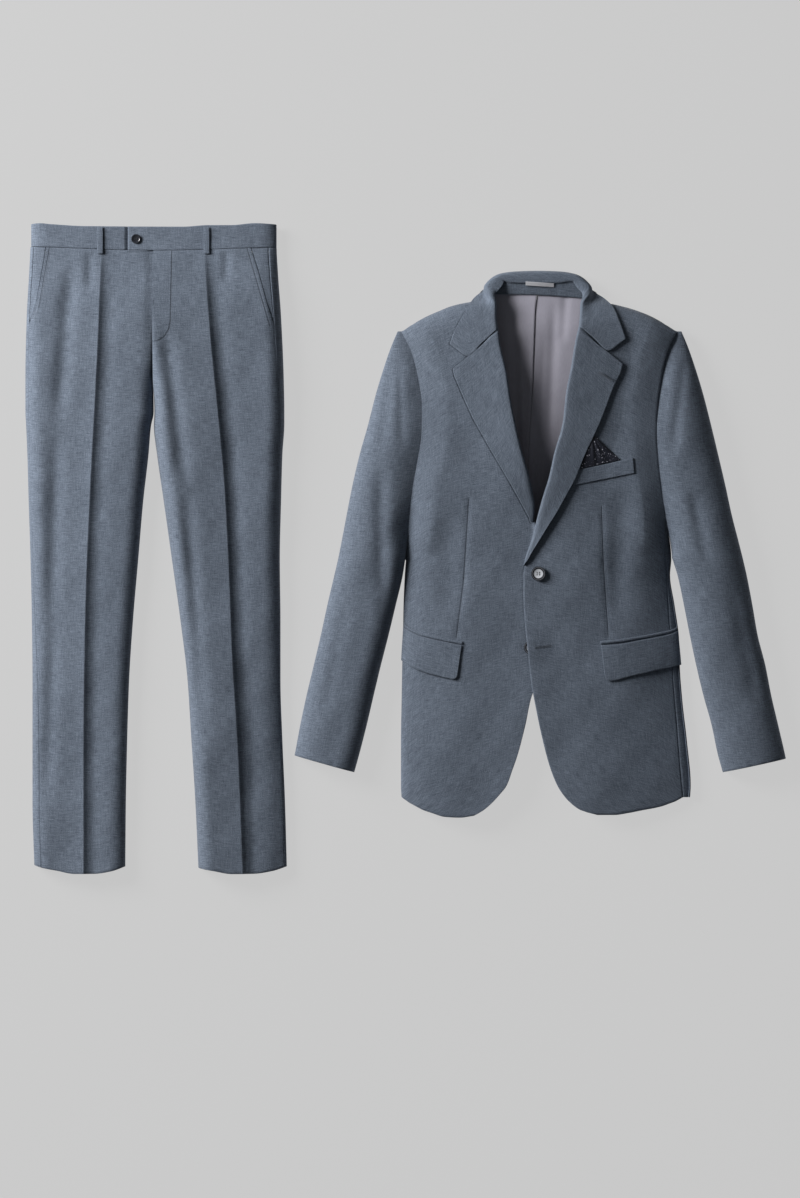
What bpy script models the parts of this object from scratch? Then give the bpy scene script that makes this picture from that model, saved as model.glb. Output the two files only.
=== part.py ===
"""A two-piece suit laid flat side by side: trousers, and a single-breasted two-button jacket.

Lengths are millimetres until a mesh is made. Each garment has its own plan: across runs to the
right, down runs from its top edge to its hem, and height is above the surface that it lies on.
The wearer's right side is on the left, at negative across.
"""
import math

import bmesh
import bpy
import numpy as np

MM = 0.001

# Cloth
CLOTH = 1.6
WAISTBAND = 2.6
LINING = 1.0
SEAM = 0.3
RIM = 0.35
LEG_RIM = 0.5

# Places of the two garments' own zero points
TROUSER_PLACE = (-389.5, 503.1)
JACKET_PLACE = (201.9, 430.1)

# Trousers
TROUSER_EDGE = 10.0
TROUSER_ROUND = 26.0
LEG_INNER_ROUND = 24.0
UNDER_ROUND = 9.0
CREASE_WIDTH = 5.0
BAND_HALF = 190.0
BAND_LOW = 20.0
BAND_PROUD = 0.7
TAB_END = -39.5
TAB_DIP = 3.5
TAB_UNDER = 6.0
LOOP_HALF = 4.4
WAIST_BUTTON = (-27.0, 24.5)
WAIST_BUTTON_RADIUS = 7.3
WAIST_BUTTON_THICK = 2.6

# Jacket
JACKET_EDGE = 14.0
SIDE_ROUND = 110.0
ARMHOLE_ROUND = 42.0
SHOULDER_ROUND = 34.0
SLEEVE_ROUND = 50.0
ARM_GAP = 0.6
ARMPIT = 447
DIP_RUN = 10.0
LAPEL_CLEAR = 2.8
FRONT_BUTTON_RADIUS = 11.2
FRONT_BUTTON_THICK = 3.6
UPPER_BUTTON = (3.0, 469.0)
LOWER_BUTTON = (-8.0, 583.0)
FLAP_GAP = 1.0
JET = 1.2
JET_GAP = 0.9


def table(names, *rows):
    """Rows of numbers under named columns."""
    return dict(zip(names.split(), np.array(rows, dtype=float).T))


LEGS = table(
    "down outer_right inner_right inner_left outer_left",
    (0, -190, 0, 0, 190),
    (40, -191, 0, 0, 190),
    (80, -193, 0, 0, 192),
    (150, -197, -1, -1, 197),
    (240, -199, -1, -1, 201),
    (293, -199, 0, 1, 202),
    (312, -198, -4, 0, 202),
    (358, -196, -8, 5, 199),
    (428, -194, -16, 15, 197),
    (521, -191, -24, 28, 195),
    (614, -189, -32, 41, 196),
    (707, -188, -38, 52, 196),
    (800, -188, -41, 58, 199),
    (893, -188, -43, 64, 203),
    (1000, -185, -44, 69, 206),
)
TROUSER_CROWN = table(
    "down height", (0, 21), (40, 22), (120, 31), (240, 35), (330, 34), (520, 30), (760, 27), (1000, 25)
)
LEG_JOIN = table("down share", (0, 1), (120, 1), (210, 0.75), (293, 0), (1000, 0))
FLY = table("down lap dip", (0, 8, 2.7), (125, 8, 2.7), (158, 0, 2.7), (200, 0, 0), (1000, 0, 0))
WAIST_TOP = table(
    "across down",
    (-190, 1),
    (-177, 0),
    (-159, 1.5),
    (-103, 4.6),
    (46, 5.4),
    (85, 3),
    (120, 3),
    (157, 0),
    (190, 1.5),
)
WAIST_SEAM = table("across down", (-192, 36), (0, 42), (192, 37))
HEM_DROP = table("share drop", (0, 0), (0.1, 4), (0.25, 8), (0.45, 13), (0.65, 13), (0.85, 9), (1, 2))
CREASES = table(
    "down right left height",
    (42, -80, 78, 1.5),
    (110, -83, 83, 3.5),
    (195, -86, 90, 4.5),
    (273, -90, 98, 4.5),
    (406, -97, 110, 4.5),
    (569, -104, 118, 4.5),
    (652, -106, 121, 4.5),
    (823, -108, 131, 4.5),
    (1005, -108, 138, 4.5),
)
SIDE_SEAMS = table(
    "down right left",
    (36, 5, 12),
    (163, 5, 11),
    (273, 6, 8),
    (422, 4, 4),
    (569, 5, 3),
    (645, 7, 3),
    (794, 11, 3),
    (1000, 12, 4),
)
POCKET_MOUTHS = table("down right left", (36, -165, 149), (81, -173, 163), (125, -181, 175), (158, -188, 184))
POCKET_END = 158.0
POCKET_DROP = 0.9
POCKET_TIP = 0.75
WAIST_STATION = 40.0
HEM_STATION = 993.0
TROUSER_STATIONS = (60, 90, 125, POCKET_END, 200, 245, 293, 312, 358, 428, 521, 614, 707, 800, 893, 950)
TROUSER_STATIONS += (HEM_STATION,)

TROUSER_FOLDS = table(
    "top bottom across_top across_bottom depth width",
    (40, 330, -125, -148, 5.0, 13),
    (300, 640, -148, -158, 4.2, 13),
    (600, 930, -153, -168, 3.4, 12),
    (40, 110, -98, -99, 2.4, 7),
    (140, 420, 15, 52, 4.8, 12),
    (380, 840, 50, 78, 4.2, 12),
    (40, 95, 112, 113, 2.4, 7),
    (650, 900, 145, 158, 4.0, 11),
)

ARMHOLE_STATIONS = (94, 97, 106, 124, 152, 188, 230, 275, 320, 362, 404, 445)
BODY_STATIONS = (490, 535, 560, 572, 594, 606, 640, 700, 755, 786, 804, 815)
SLEEVE_STATIONS = (490, 540, 590, 640, 695, 740, 776)

FRONT_NEAR = (0, 2.6, 12, 32)
BODY_SIDES = table(
    "down right left",
    (94, -207, 217),
    (124, -192, 202),
    (166, -181, 192),
    (209, -175, 186),
    (240, -175, 184),
    (302, -183, 188),
    (339, -190, 193),
    (380, -195, 200),
    (445, -201, 210),
    (471, -203, 208),
    (518, -205, 215),
    (572, -206, 222),
    (611, -207, 223),
    (665, -208, 227),
    (727, -209, 234),
    (797, -209, 240),
    (815, -208, 239),
)
LEFT_SIDE_SEAM = table(
    "down across",
    (385, 199),
    (445, 201),
    (518, 205),
    (564, 208),
    (614, 211),
    (700, 218),
    (775, 224),
    (815, 228),
)
SHOULDERS = table(
    "across down",
    (-207, 93),
    (-194, 84),
    (-163, 68),
    (-129, 54),
    (-112, 50),
    (-100, 48),
    (-88, 46),
    (-76, 44),
    (-68, 12),
    (-60, -20),
    (68, -20),
    (76, 12),
    (84, 46),
    (96, 48),
    (108, 50),
    (121, 52),
    (138, 56),
    (155, 61),
    (189, 76),
    (203, 84),
    (217, 93),
)
JACKET_RISE = table(
    "down rise",
    (0, 12),
    (60, 17),
    (120, 23),
    (200, 28),
    (300, 29),
    (400, 27),
    (500, 23),
    (600, 20),
    (700, 17),
    (850, 13),
)
ARMHOLE_SHARE = table(
    "down share", (94, 0.35), (150, 0.6), (240, 0.72), (330, 0.6), (400, 0.3), (445, 0), (850, 0)
)
RIGHT_FRONT_EDGE = table(
    "across down",
    (-76, 44),
    (-72, 64),
    (-66, 90),
    (-57, 132),
    (-51, 158),
    (-44, 205),
    (-32, 262),
    (-17, 324),
    (-15.5, 350),
    (-13, 366),
    (-4, 386),
    (0, 397),
    (6, 430),
    (10, 500),
    (11, 560),
    (9, 610),
    (1, 640),
    (-7, 658),
    (-17, 704),
    (-29, 750),
    (-37, 773),
    (-46, 797),
    (-57, 811),
    (-68, 823),
    (-82, 835),
    (-96, 843),
)
LEFT_FRONT_EDGE = table(
    "across down",
    (84, 46),
    (79, 64),
    (70, 90),
    (64, 113),
    (58, 150),
    (50, 191),
    (45, 236),
    (32, 284),
    (23, 324),
    (16, 346),
    (9, 371),
    (3, 395),
    (-4, 420),
    (-14, 445),
    (-20, 470),
    (-20, 490),
    (-18, 542),
    (-13, 591),
    (-8, 639),
    (-5, 654),
    (5, 704),
    (16, 750),
    (23, 773),
    (33, 797),
    (42, 811),
    (53, 823),
    (70, 835),
    (95, 842),
)
RIGHT_HEM = table("across down", (-208, 815), (-183, 831), (-161, 839), (-140, 845), (-118, 846), (-96, 843))
LEFT_HEM = table(
    "across down", (95, 842), (121, 842), (143, 839), (164, 835), (186, 831), (208, 825), (228, 815)
)
FRONT_DIP = table(
    "down dip lead",
    (330, 0, 18),
    (352, 4.8, 18),
    (450, 4.8, 18),
    (480, 3.2, 13),
    (556, 3.4, 14),
    (567, 7.6, 17),
    (597, 7.6, 17),
    (608, 3.4, 14),
    (645, 3.0, 13),
    (662, 0, 13),
)

RIGHT_BACK_CENTRE = table(
    "across down",
    (1.5, 44),
    (1, 200),
    (0, 400),
    (-2, 560),
    (-8, 630),
    (-16, 665),
    (-23, 704),
    (-36, 750),
    (-54, 797),
    (-66, 812),
    (-78, 824),
)
LEFT_BACK_CENTRE = table(
    "across down",
    (2.1, 44),
    (1.6, 200),
    (0.6, 400),
    (-1.4, 560),
    (0, 630),
    (4, 665),
    (12, 704),
    (23, 750),
    (41, 797),
    (52, 811),
    (64, 822),
)
BACK_STATIONS = (94, 97, 106, 124, 188, 275, 362, 404, 445, 490, 600, 655, 710, 755, 815)
BACK_COLUMNS = (0, 0.12, 0.25, 0.4, 0.56, 0.66, 0.8, 1)
BACK_NECK = {"right": [(-66, 41), (-45, 44)], "left": [(72, 43), (50, 45)]}
BACK_CORNERS = {"right": (-207.0, -76.0), "left": (217.0, 84.0)}

LAPEL_RIGHT = table(
    "roll_across roll_down outer_across outer_down depth hook",
    (-58, 96, -129, 153, 5.4, 1),
    (-56, 112, -127, 163, 5.4, 1),
    (-52, 132, -121, 177, 5.4, 1),
    (-46, 158, -113, 196, 5.4, 1),
    (-39, 205, -93, 229, 5.2, 1),
    (-33, 235, -84, 255, 5.0, 1),
    (-27, 262, -76, 279, 4.8, 1),
    (-18, 295, -61, 307, 4.6, 1),
    (-10, 324, -46, 331, 4.4, 1),
    (-5, 347, -32, 355, 4.2, 1),
    (-3, 363, -22, 370, 3.4, 0.45),
    (-3.5, 377, -14, 382, 0.8, 0.25),
    (-5, 389, -9, 390, 0.6, 0.25),
)
LAPEL_LEFT = table(
    "roll_across roll_down outer_across outer_down depth hook",
    (64, 92, 133, 146, 5.4, 1),
    (61, 104, 131, 156, 5.4, 1),
    (57, 125, 124, 171, 5.4, 1),
    (53, 150, 116, 189, 5.4, 1),
    (45, 191, 104, 221, 5.2, 1),
    (40, 236, 92, 249, 5.0, 1),
    (27, 284, 74, 287, 4.8, 1),
    (18, 324, 59, 324, 4.6, 1),
    (11, 346, 48, 344, 4.4, 1),
    (4, 371, 32, 373, 4.2, 1),
    (-2, 395, 15, 400, 4.0, 0.9),
    (-8, 418, 4, 418, 3.9, 0.6),
    (-15, 438, -6, 434, 2.6, 0.3),
    (-20, 456, -15, 450, 0.8, 0.2),
)
LAPEL_LIFT = table("share lift", (0, 0), (0.55, 0.4), (0.8, 2.2), (1, 1.2))
LAPEL_HOOK = table(
    "distance share", (9.0, -1.0), (4.0, -1.0), (1.2, -0.74), (0.0, -0.2), (0.9, 0.36), (3.2, 0.78)
)
LAPEL_COLUMNS = (0.22, 0.45, 0.7, 0.88, 1.0)

BREAST_WELT = ((58, 311), (149, 290.5), (151, 314), (55, 333.5))
POCKET_SQUARE = ((80, 258), (91, 258), (129, 293.5), (67, 308))
FLAP_TOPS = {
    "right": table(
        "across down", (-204, 552), (-197, 556), (-184, 563), (-168, 568), (-137, 575), (-115, 579.5)
    ),
    "left": table(
        "across down", (219, 557), (210, 561.5), (183, 567.5), (153, 573), (123, 578.5), (100, 579.5)
    ),
}
FLAP_BOTTOMS = {
    "right": table(
        "across down",
        (-206, 603),
        (-195, 611),
        (-185, 616),
        (-155, 626),
        (-137, 630),
        (-127, 632),
        (-122, 628),
    ),
    "left": table(
        "across down",
        (222.5, 610),
        (207, 614),
        (188, 618),
        (139, 629),
        (118, 634),
        (111, 634),
        (106, 629),
    ),
}
JETS = {
    "right": table(
        "across down",
        (-203, 549),
        (-195, 554.5),
        (-184, 560.3),
        (-168, 565),
        (-137, 571.8),
        (-114, 576.2),
    ),
    "left": table("across down", (218, 554), (212, 557), (193, 561.5), (163, 567), (125, 573), (99, 575.6)),
}

UNDERARM = table("down share", (404, 0.0), (445, 1.0), (850, 1.0))
UNDER_SEAMS = {
    "right": ((404, 445, 490, 815), (-185, -181, -160, -162)),
    "left": ((404, 445, 490, 815), (190, 188, 168, 194)),
}
SLEEVE_RIGHT = table(
    "down outer inner",
    (94, -214, -207),
    (115, -223, -196),
    (146, -234, -184),
    (192, -248, -176),
    (239, -260, -175),
    (285, -273, -180),
    (332, -284, -189),
    (378, -293, -195),
    (425, -302, -199),
    (445, -306, -202),
    (471, -312, -206),
    (518, -323, -217),
    (564, -333, -228),
    (611, -344, -240),
    (657, -355, -251),
    (704, -365, -262),
    (747, -373, -273),
    (776, -379, -281),
)
SLEEVE_LEFT = table(
    "down outer inner",
    (94, 225, 217),
    (115, 234, 207),
    (146, 245, 197),
    (192, 259, 188),
    (239, 271, 184),
    (285, 282, 187),
    (332, 293, 192),
    (378, 303, 199),
    (425, 315, 207),
    (445, 320, 211),
    (471, 326, 219),
    (518, 335, 229),
    (564, 343, 238),
    (611, 355, 248),
    (657, 364, 259),
    (704, 375, 272),
    (747, 385, 281),
    (776, 391, 289),
)
SLEEVE_RISE = table("down rise", (94, 6), (124, 14), (180, 23), (280, 28), (450, 27), (600, 25), (776, 22))
CUFF_TILT = {"right": 26.0, "left": 21.0}
SLEEVE_FOLDS = table(
    "top bottom across_top across_bottom depth width",
    (110, 300, -220, -243, 2.4, 9),
    (120, 290, -212, -207, 2.0, 7),
    (280, 540, -242, -237, 3.4, 11),
    (120, 300, 232, 208, 2.6, 9),
    (330, 460, 240, 262, 2.6, 11),
    (500, 700, -290, -330, 2.0, 12),
    (480, 690, 300, 345, 2.0, 12),
)
JACKET_FOLDS = table(
    "top bottom across_top across_bottom depth width",
    (330, 552, 135, 122, 4.0, 20),
    (360, 550, -140, -130, 2.2, 20),
    (150, 330, -150, -160, 1.8, 14),
)

COLLAR = table(
    "roll_across roll_down edge_across edge_down height fall notch",
    (-59, 93, -134, 115, 0, 0, 27),
    (-60, 83, -128, 98, 0, 0, 12),
    (-61, 70, -121, 84, 0, 0, 2),
    (-61, 52, -110, 64, 1, 0, 0),
    (-61, 38, -99, 43, 2, 0.2, 0),
    (-60, 25, -84, 26, 2, 0.8, 0),
    (-58, 14, -70, 12, 0, 1, 0),
    (-50, 10, -54, 4, 0, 1, 0),
    (-30, 9, -31, 1, 0, 1, 0),
    (3, 9, 3, 0, 0, 1, 0),
    (36, 9, 37, 1, 0, 1, 0),
    (56, 10, 61, 5, 0, 1, 0),
    (66, 16, 78, 15, 0, 1, 0),
    (69, 26, 90, 28, 2, 0.8, 0),
    (69, 38, 108, 43, 2, 0.2, 0),
    (68, 52, 119, 57, 1, 0, 0),
    (67, 68, 127, 76, 0, 0, 2),
    (66, 80, 133, 92, 0, 0, 12),
    (65, 89, 138, 107, 0, 0, 25),
)
COLLAR_ROLL = table(
    "distance rise crest",
    (7.0, -5.4, 15.0),
    (3.4, -5.4, 18.4),
    (1.0, -3.8, 20.4),
    (0.0, -0.8, 20.6),
    (1.0, 2.0, 18.6),
    (4.0, 4.4, 11.0),
)
COLLAR_FALL = table(
    "share notch inward low",
    (0.3, 0.48, 0.6, 5.0),
    (0.6, 1.0, 3.5, 1.4),
    (0.85, 0.4, 8.0, 0.2),
    (1.0, 0, 13.0, 0.2),
)
NECK = table("down height", (10, 18.4), (20, 15.0), (38, 8.0))

LINING_PLEAT = table("down across", (36, 2), (62, -1), (110, -3), (169, -5), (300, -12), (400, -13))
LINING_EDGES = table(
    "down right left", (41, -62, 70), (95, -68, 76), (205, -49, 55), (324, -21, 28), (398, -16, 4)
)
LINING_STATIONS = (41, 62, 110, 169, 240, 300, 360, 398)


def smooth(xs, ys, x):
    """A monotone cubic through the rows, held level past both ends."""
    x = np.clip(np.asarray(x, dtype=float), xs[0], xs[-1])
    width = np.diff(xs)
    slope = np.diff(ys) / width
    tangent = np.zeros_like(ys)
    tangent[0] = slope[0]
    tangent[-1] = slope[-1]
    before = slope[:-1]
    after = slope[1:]
    turns = before * after <= 0
    safe_before = np.where(turns, 1.0, before)
    safe_after = np.where(turns, 1.0, after)
    weight_a = 2 * width[1:] + width[:-1]
    weight_b = width[1:] + 2 * width[:-1]
    mean = (weight_a + weight_b) / (weight_a / safe_before + weight_b / safe_after)
    tangent[1:-1] = np.where(turns, 0.0, mean)
    i = np.clip(np.searchsorted(xs, x, side="right") - 1, 0, len(width) - 1)
    s = (x - xs[i]) / width[i]
    start = (1 + 2 * s) * (1 - s) ** 2 * ys[i] + s * (1 - s) ** 2 * width[i] * tangent[i]
    end = s * s * (3 - 2 * s) * ys[i + 1] + s * s * (s - 1) * width[i] * tangent[i + 1]
    return start + end


def read(rows, key, column, at):
    """One column of a table, read smoothly at a place along its key column."""
    return smooth(rows[key], rows[column], at)


def along(rows, first, second, share):
    """A smooth plan curve through two columns of a table, at shares of its length."""
    points = np.stack([rows[first], rows[second]], axis=-1)
    steps = np.linalg.norm(np.diff(points, axis=0), axis=1)
    at = np.concatenate([[0.0], np.cumsum(steps)]) / steps.sum()
    return np.stack([smooth(at, points[:, 0], share), smooth(at, points[:, 1], share)], axis=-1)


def by_down(rows, share):
    """A plan curve from a table of across and down, at shares of its drop."""
    down = rows["down"][0] + np.asarray(share) * (rows["down"][-1] - rows["down"][0])
    return np.stack([read(rows, "down", "across", down), down], axis=-1)


def arch(distance, radius):
    """A quarter round: 0 at the edge and 1 from the radius inwards."""
    s = np.clip(distance / radius, 0.0, 1.0)
    return np.sqrt(1.0 - (1.0 - s) ** 2)


def ramp(value):
    """A smooth step from 0 to 1."""
    s = np.clip(value, 0.0, 1.0)
    return s * s * (3 - 2 * s)


def folds(rows, across, down):
    """Soft troughs, each along its own line and fading out at both ends."""
    total = np.zeros(np.broadcast(across, down).shape)
    for top, bottom, start, end, depth, width in zip(*rows.values()):
        share = (down - top) / (bottom - top)
        line = start + (end - start) * share
        fade = ramp(share * 4) * ramp((1 - share) * 4)
        total = total + depth * fade * np.exp(-(((across - line) / width) ** 2))
    return total


def leg_side(across, down):
    """-1 over the right leg and 1 over the left."""
    centre = (read(LEGS, "down", "inner_right", down) + read(LEGS, "down", "inner_left", down)) / 2
    return np.where(across < centre, -1, 1)


def trouser_top(across, down):
    """Height of the trousers' upper face."""
    side = leg_side(across, down)
    outer_right = read(LEGS, "down", "outer_right", down)
    outer_left = read(LEGS, "down", "outer_left", down)
    inner_right = read(LEGS, "down", "inner_right", down)
    inner_left = read(LEGS, "down", "inner_left", down)
    from_outer = np.where(side < 0, across - outer_right, outer_left - across)
    from_inner = np.where(side < 0, inner_right - across, across - inner_left)
    join = read(LEG_JOIN, "down", "share", down)
    inner = join + (1 - join) * arch(from_inner, LEG_INNER_ROUND)
    rise = read(TROUSER_CROWN, "down", "height", down) - TROUSER_EDGE
    edge_share = arch(from_outer, TROUSER_ROUND) * inner
    crease = np.where(side < 0, read(CREASES, "down", "right", down), read(CREASES, "down", "left", down))
    ridge = read(CREASES, "down", "height", down) * np.exp(-np.abs(across - crease) / CREASE_WIDTH)
    return TROUSER_EDGE + edge_share * (rise + ridge - folds(TROUSER_FOLDS, across, down))


def right_front_trouser_top(across, down):
    """The right front goes under the left one at the fly."""
    centre = read(LEGS, "down", "inner_right", down)
    dip = read(FLY, "down", "dip", down) * ramp((across - centre + 10) / 9)
    return trouser_top(np.minimum(across, centre - SEAM), down) - dip


def edge_ratio(down):
    """How much of the jacket's rise is left at the armhole seam."""
    return read(ARMHOLE_SHARE, "down", "share", down)


def seam_side(distance, down, radius):
    """From the armhole seam, or from the free side below it, up to the full height."""
    ratio = edge_ratio(down)
    joined = np.clip(ratio / 0.3, 0.0, 1.0)
    soft = np.sin(np.clip(distance / ARMHOLE_ROUND, 0.0, 1.0) * math.pi / 2)
    shape = joined * soft + (1 - joined) * arch(distance, radius)
    return ratio + (1 - ratio) * shape


def jacket_top(across, down):
    """Height of the jacket body's upper face."""
    from_right = across - read(BODY_SIDES, "down", "right", down)
    from_left = read(BODY_SIDES, "down", "left", down) - across
    from_shoulder = down - read(SHOULDERS, "across", "down", across)
    sides = seam_side(from_right, down, SIDE_ROUND) * seam_side(from_left, down, SIDE_ROUND)
    rise = read(JACKET_RISE, "down", "rise", down) - folds(JACKET_FOLDS, across, down)
    return JACKET_EDGE + rise * sides * arch(from_shoulder, SHOULDER_ROUND)


def right_front_top(across, down):
    """The right front goes under the left one at the button line."""
    edge = read(LEFT_FRONT_EDGE, "down", "across", down)
    lead = read(FRONT_DIP, "down", "lead", down)
    dip = read(FRONT_DIP, "down", "dip", down) * ramp((across - edge + lead) / DIP_RUN)
    return jacket_top(across, down) - dip


def sleeve_inner(side, down):
    """A sleeve's inner line: the armhole, and below it the sleeve's own edge."""
    name = "right" if side < 0 else "left"
    rows = SLEEVE_RIGHT if side < 0 else SLEEVE_LEFT
    return np.where(down < 446, read(BODY_SIDES, "down", name, down), read(rows, "down", "inner", down))


def sleeve_top(side):
    """Height function of one sleeve's upper face."""
    rows = SLEEVE_RIGHT if side < 0 else SLEEVE_LEFT

    def height(across, down):
        outer = read(rows, "down", "outer", down)
        inner = sleeve_inner(side, down)
        from_outer = (across - outer) * -side
        from_inner = (inner - across) * -side
        shape = arch(from_outer, SLEEVE_ROUND) * seam_side(from_inner, down, SLEEVE_ROUND)
        rise = read(SLEEVE_RISE, "down", "rise", down) - folds(SLEEVE_FOLDS, across, down)
        return JACKET_EDGE + rise * shape

    return height


def lift(plan, height, facing=1):
    """Points of a height function over plan points, with the normals that face out."""
    across = plan[..., 0]
    down = plan[..., 1]
    step = 0.4
    z = height(across, down)
    slope_across = (height(across + step, down) - height(across - step, down)) / (2 * step)
    slope_down = (height(across, down + step) - height(across, down - step)) / (2 * step)
    normals = np.stack([-slope_across, -slope_down, np.ones_like(z)], axis=-1) * facing
    normals /= np.linalg.norm(normals, axis=-1, keepdims=True)
    return np.stack([across, down, z], axis=-1), normals


def grid_normals(points, up_at):
    """Normals of a grid by its neighbours, turned so that the point up_at faces up."""
    normals = np.cross(np.gradient(points, axis=0), np.gradient(points, axis=1))
    normals /= np.linalg.norm(normals, axis=-1, keepdims=True)
    if normals[up_at][2] < 0:
        normals = -normals
    return normals


def wall(name, points, normals, thickness, material, place, level=""):
    """One closed body: a grid of points and its copy moved in along the normals."""
    inner = points - normals * thickness
    rims = {"first_row": (0, slice(None)), "last_row": (-1, slice(None)),
            "first_column": (slice(None), 0), "last_column": (slice(None), -1)}
    for rim in level.split():
        inner[rims[rim] + (2,)] = points[rims[rim] + (2,)]
    rows, columns = points.shape[:2]
    local = np.concatenate([points.reshape(-1, 3), inner.reshape(-1, 3)])
    world = np.stack([place[0] + local[:, 0], place[1] - local[:, 1], local[:, 2]], axis=-1) * MM
    bm = bmesh.new()
    verts = [bm.verts.new(co) for co in world]

    def at(i, j, layer):
        return verts[layer * rows * columns + i * columns + j]

    for i in range(rows - 1):
        for j in range(columns - 1):
            bm.faces.new((at(i, j, 0), at(i, j + 1, 0), at(i + 1, j + 1, 0), at(i + 1, j, 0)))
            bm.faces.new((at(i + 1, j, 1), at(i + 1, j + 1, 1), at(i, j + 1, 1), at(i, j, 1)))
    border = [(0, j) for j in range(columns)] + [(i, columns - 1) for i in range(1, rows)]
    border += [(rows - 1, j) for j in range(columns - 2, -1, -1)] + [(i, 0) for i in range(rows - 2, 0, -1)]
    for (i, j), (k, m) in zip(border, border[1:] + border[:1]):
        bm.faces.new((at(k, m, 0), at(i, j, 0), at(i, j, 1), at(k, m, 1)))
    return finish(name, bm, material)


def finish(name, bm, material):
    """The bmesh as a named object, its faces pointing out, with its own material."""
    bmesh.ops.triangulate(bm, faces=bm.faces[:])
    if bm.calc_volume(signed=True) < 0:
        bmesh.ops.reverse_faces(bm, faces=bm.faces[:])
    mesh = bpy.data.meshes.new(name)
    bm.to_mesh(mesh)
    bm.free()
    mesh.shade_smooth()
    mesh.set_sharp_from_angle(angle=math.radians(50))
    mesh.materials.append(material)
    piece = bpy.data.objects.new(name, mesh)
    bpy.context.collection.objects.link(piece)
    return piece


def finish_material(name, colour, roughness):
    """A Principled material with one colour and roughness."""
    material = bpy.data.materials.new(name)
    material.use_nodes = True
    shader = material.node_tree.nodes["Principled BSDF"]
    shader.inputs["Base Color"].default_value = (*colour, 1.0)
    shader.inputs["Roughness"].default_value = roughness
    material.diffuse_color = (*colour, 1.0)
    return material


def coons(first, last, top, bottom, u, v):
    """Plan points between four curves, at column shares u and row shares v of the same shape."""
    corners = (
        (1 - u)[..., None] * (1 - v)[..., None] * top(0.0)
        + u[..., None] * (1 - v)[..., None] * top(1.0)
        + (1 - u)[..., None] * v[..., None] * bottom(0.0)
        + u[..., None] * v[..., None] * bottom(1.0)
    )
    across_rows = (1 - u)[..., None] * first(v) + u[..., None] * last(v)
    down_columns = (1 - v)[..., None] * top(u) + v[..., None] * bottom(u)
    return across_rows + down_columns - corners


def eased(count):
    """Shares from 0 to 1 that start close together, as round an edge."""
    return 1 - np.cos(np.linspace(0, math.pi / 2, count))


def trouser_front(side, material):
    """One front panel of the trousers, from the pocket mouth and side seam to the centre and inside leg."""
    name = "right" if side < 0 else "left"
    downs = np.array((WAIST_STATION,) + TROUSER_STATIONS)
    outline = read(LEGS, "down", "outer_" + name, downs)
    inner = read(LEGS, "down", "inner_" + name, downs)
    seam = outline - side * read(SIDE_SEAMS, "down", name, downs)
    mouth = read(POCKET_MOUTHS, "down", name, downs)
    outer = np.where(downs < POCKET_END, mouth, seam) - side * SEAM / 2
    if side < 0:
        inner = inner + read(FLY, "down", "lap", downs)
    inner = inner + side * SEAM / 2
    crease = read(CREASES, "down", name, downs)
    reach = np.maximum(np.abs(outline - outer) + 12, TROUSER_ROUND)
    round_end = outline - side * reach
    inner_end = np.where(downs > 290, inner + side * LEG_INNER_ROUND, inner + side * 16)
    columns = [outer + (round_end - outer) * s for s in eased(5)]
    columns += [round_end + (crease + side * 9 - round_end) * s for s in (0.5, 1)]
    columns += [crease + side * offset for offset in (3, 0, -3, -9)]
    columns += [crease - side * 9 + (inner_end - crease + side * 9) * s for s in (0.35, 0.7)]
    columns += [inner + (inner_end - inner) * s for s in eased(5)[::-1]]
    across = np.stack(columns, axis=-1)
    share = (across - outline[:, None]) / (inner - outline)[:, None]
    v = ((downs - WAIST_STATION) / (HEM_STATION - WAIST_STATION))[:, None]
    waist = read(WAIST_SEAM, "across", "down", across) + SEAM - WAIST_STATION
    hem = read(HEM_DROP, "share", "drop", share if side < 0 else 1 - share * 0.9)
    down = downs[:, None] + waist * (1 - v) ** 4 + hem * v ** 12
    height = right_front_trouser_top if side < 0 else trouser_top
    plan = np.stack([across, np.broadcast_to(down, across.shape)], axis=-1)
    points, normals = lift(plan, height)
    return wall("trouser_front_" + name, points, normals, CLOTH, material, TROUSER_PLACE)


def pocket_facing(side, material):
    """The cloth that shows between the pocket mouth and the side seam."""
    name = "right" if side < 0 else "left"
    downs = np.array((WAIST_STATION,) + TROUSER_STATIONS[:4])
    outline = read(LEGS, "down", "outer_" + name, downs)
    seam = outline - side * (read(SIDE_SEAMS, "down", name, downs) + SEAM)
    mouth = read(POCKET_MOUTHS, "down", name, downs) + side * SEAM
    mouth[-1] = seam[-1] + side * 4 * SEAM
    for line in (downs, seam, mouth):
        line[-1] = line[-2] + (line[-1] - line[-2]) * POCKET_TIP
    columns = [seam + (mouth - seam) * s for s in (0, 0.2, 0.5, 1)]
    across = np.stack(columns, axis=-1)
    waist = read(WAIST_SEAM, "across", "down", across) + SEAM - WAIST_STATION
    down = downs[:, None] + waist * (1 - (downs[:, None] - WAIST_STATION) / (POCKET_END - WAIST_STATION))
    plan = np.stack([across, down], axis=-1)
    points, normals = lift(plan, trouser_top)
    points[..., 2] -= POCKET_DROP * np.array([0, 0.5, 1, 1])
    return wall("pocket_facing_" + name, points, normals, CLOTH, material, TROUSER_PLACE)


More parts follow.
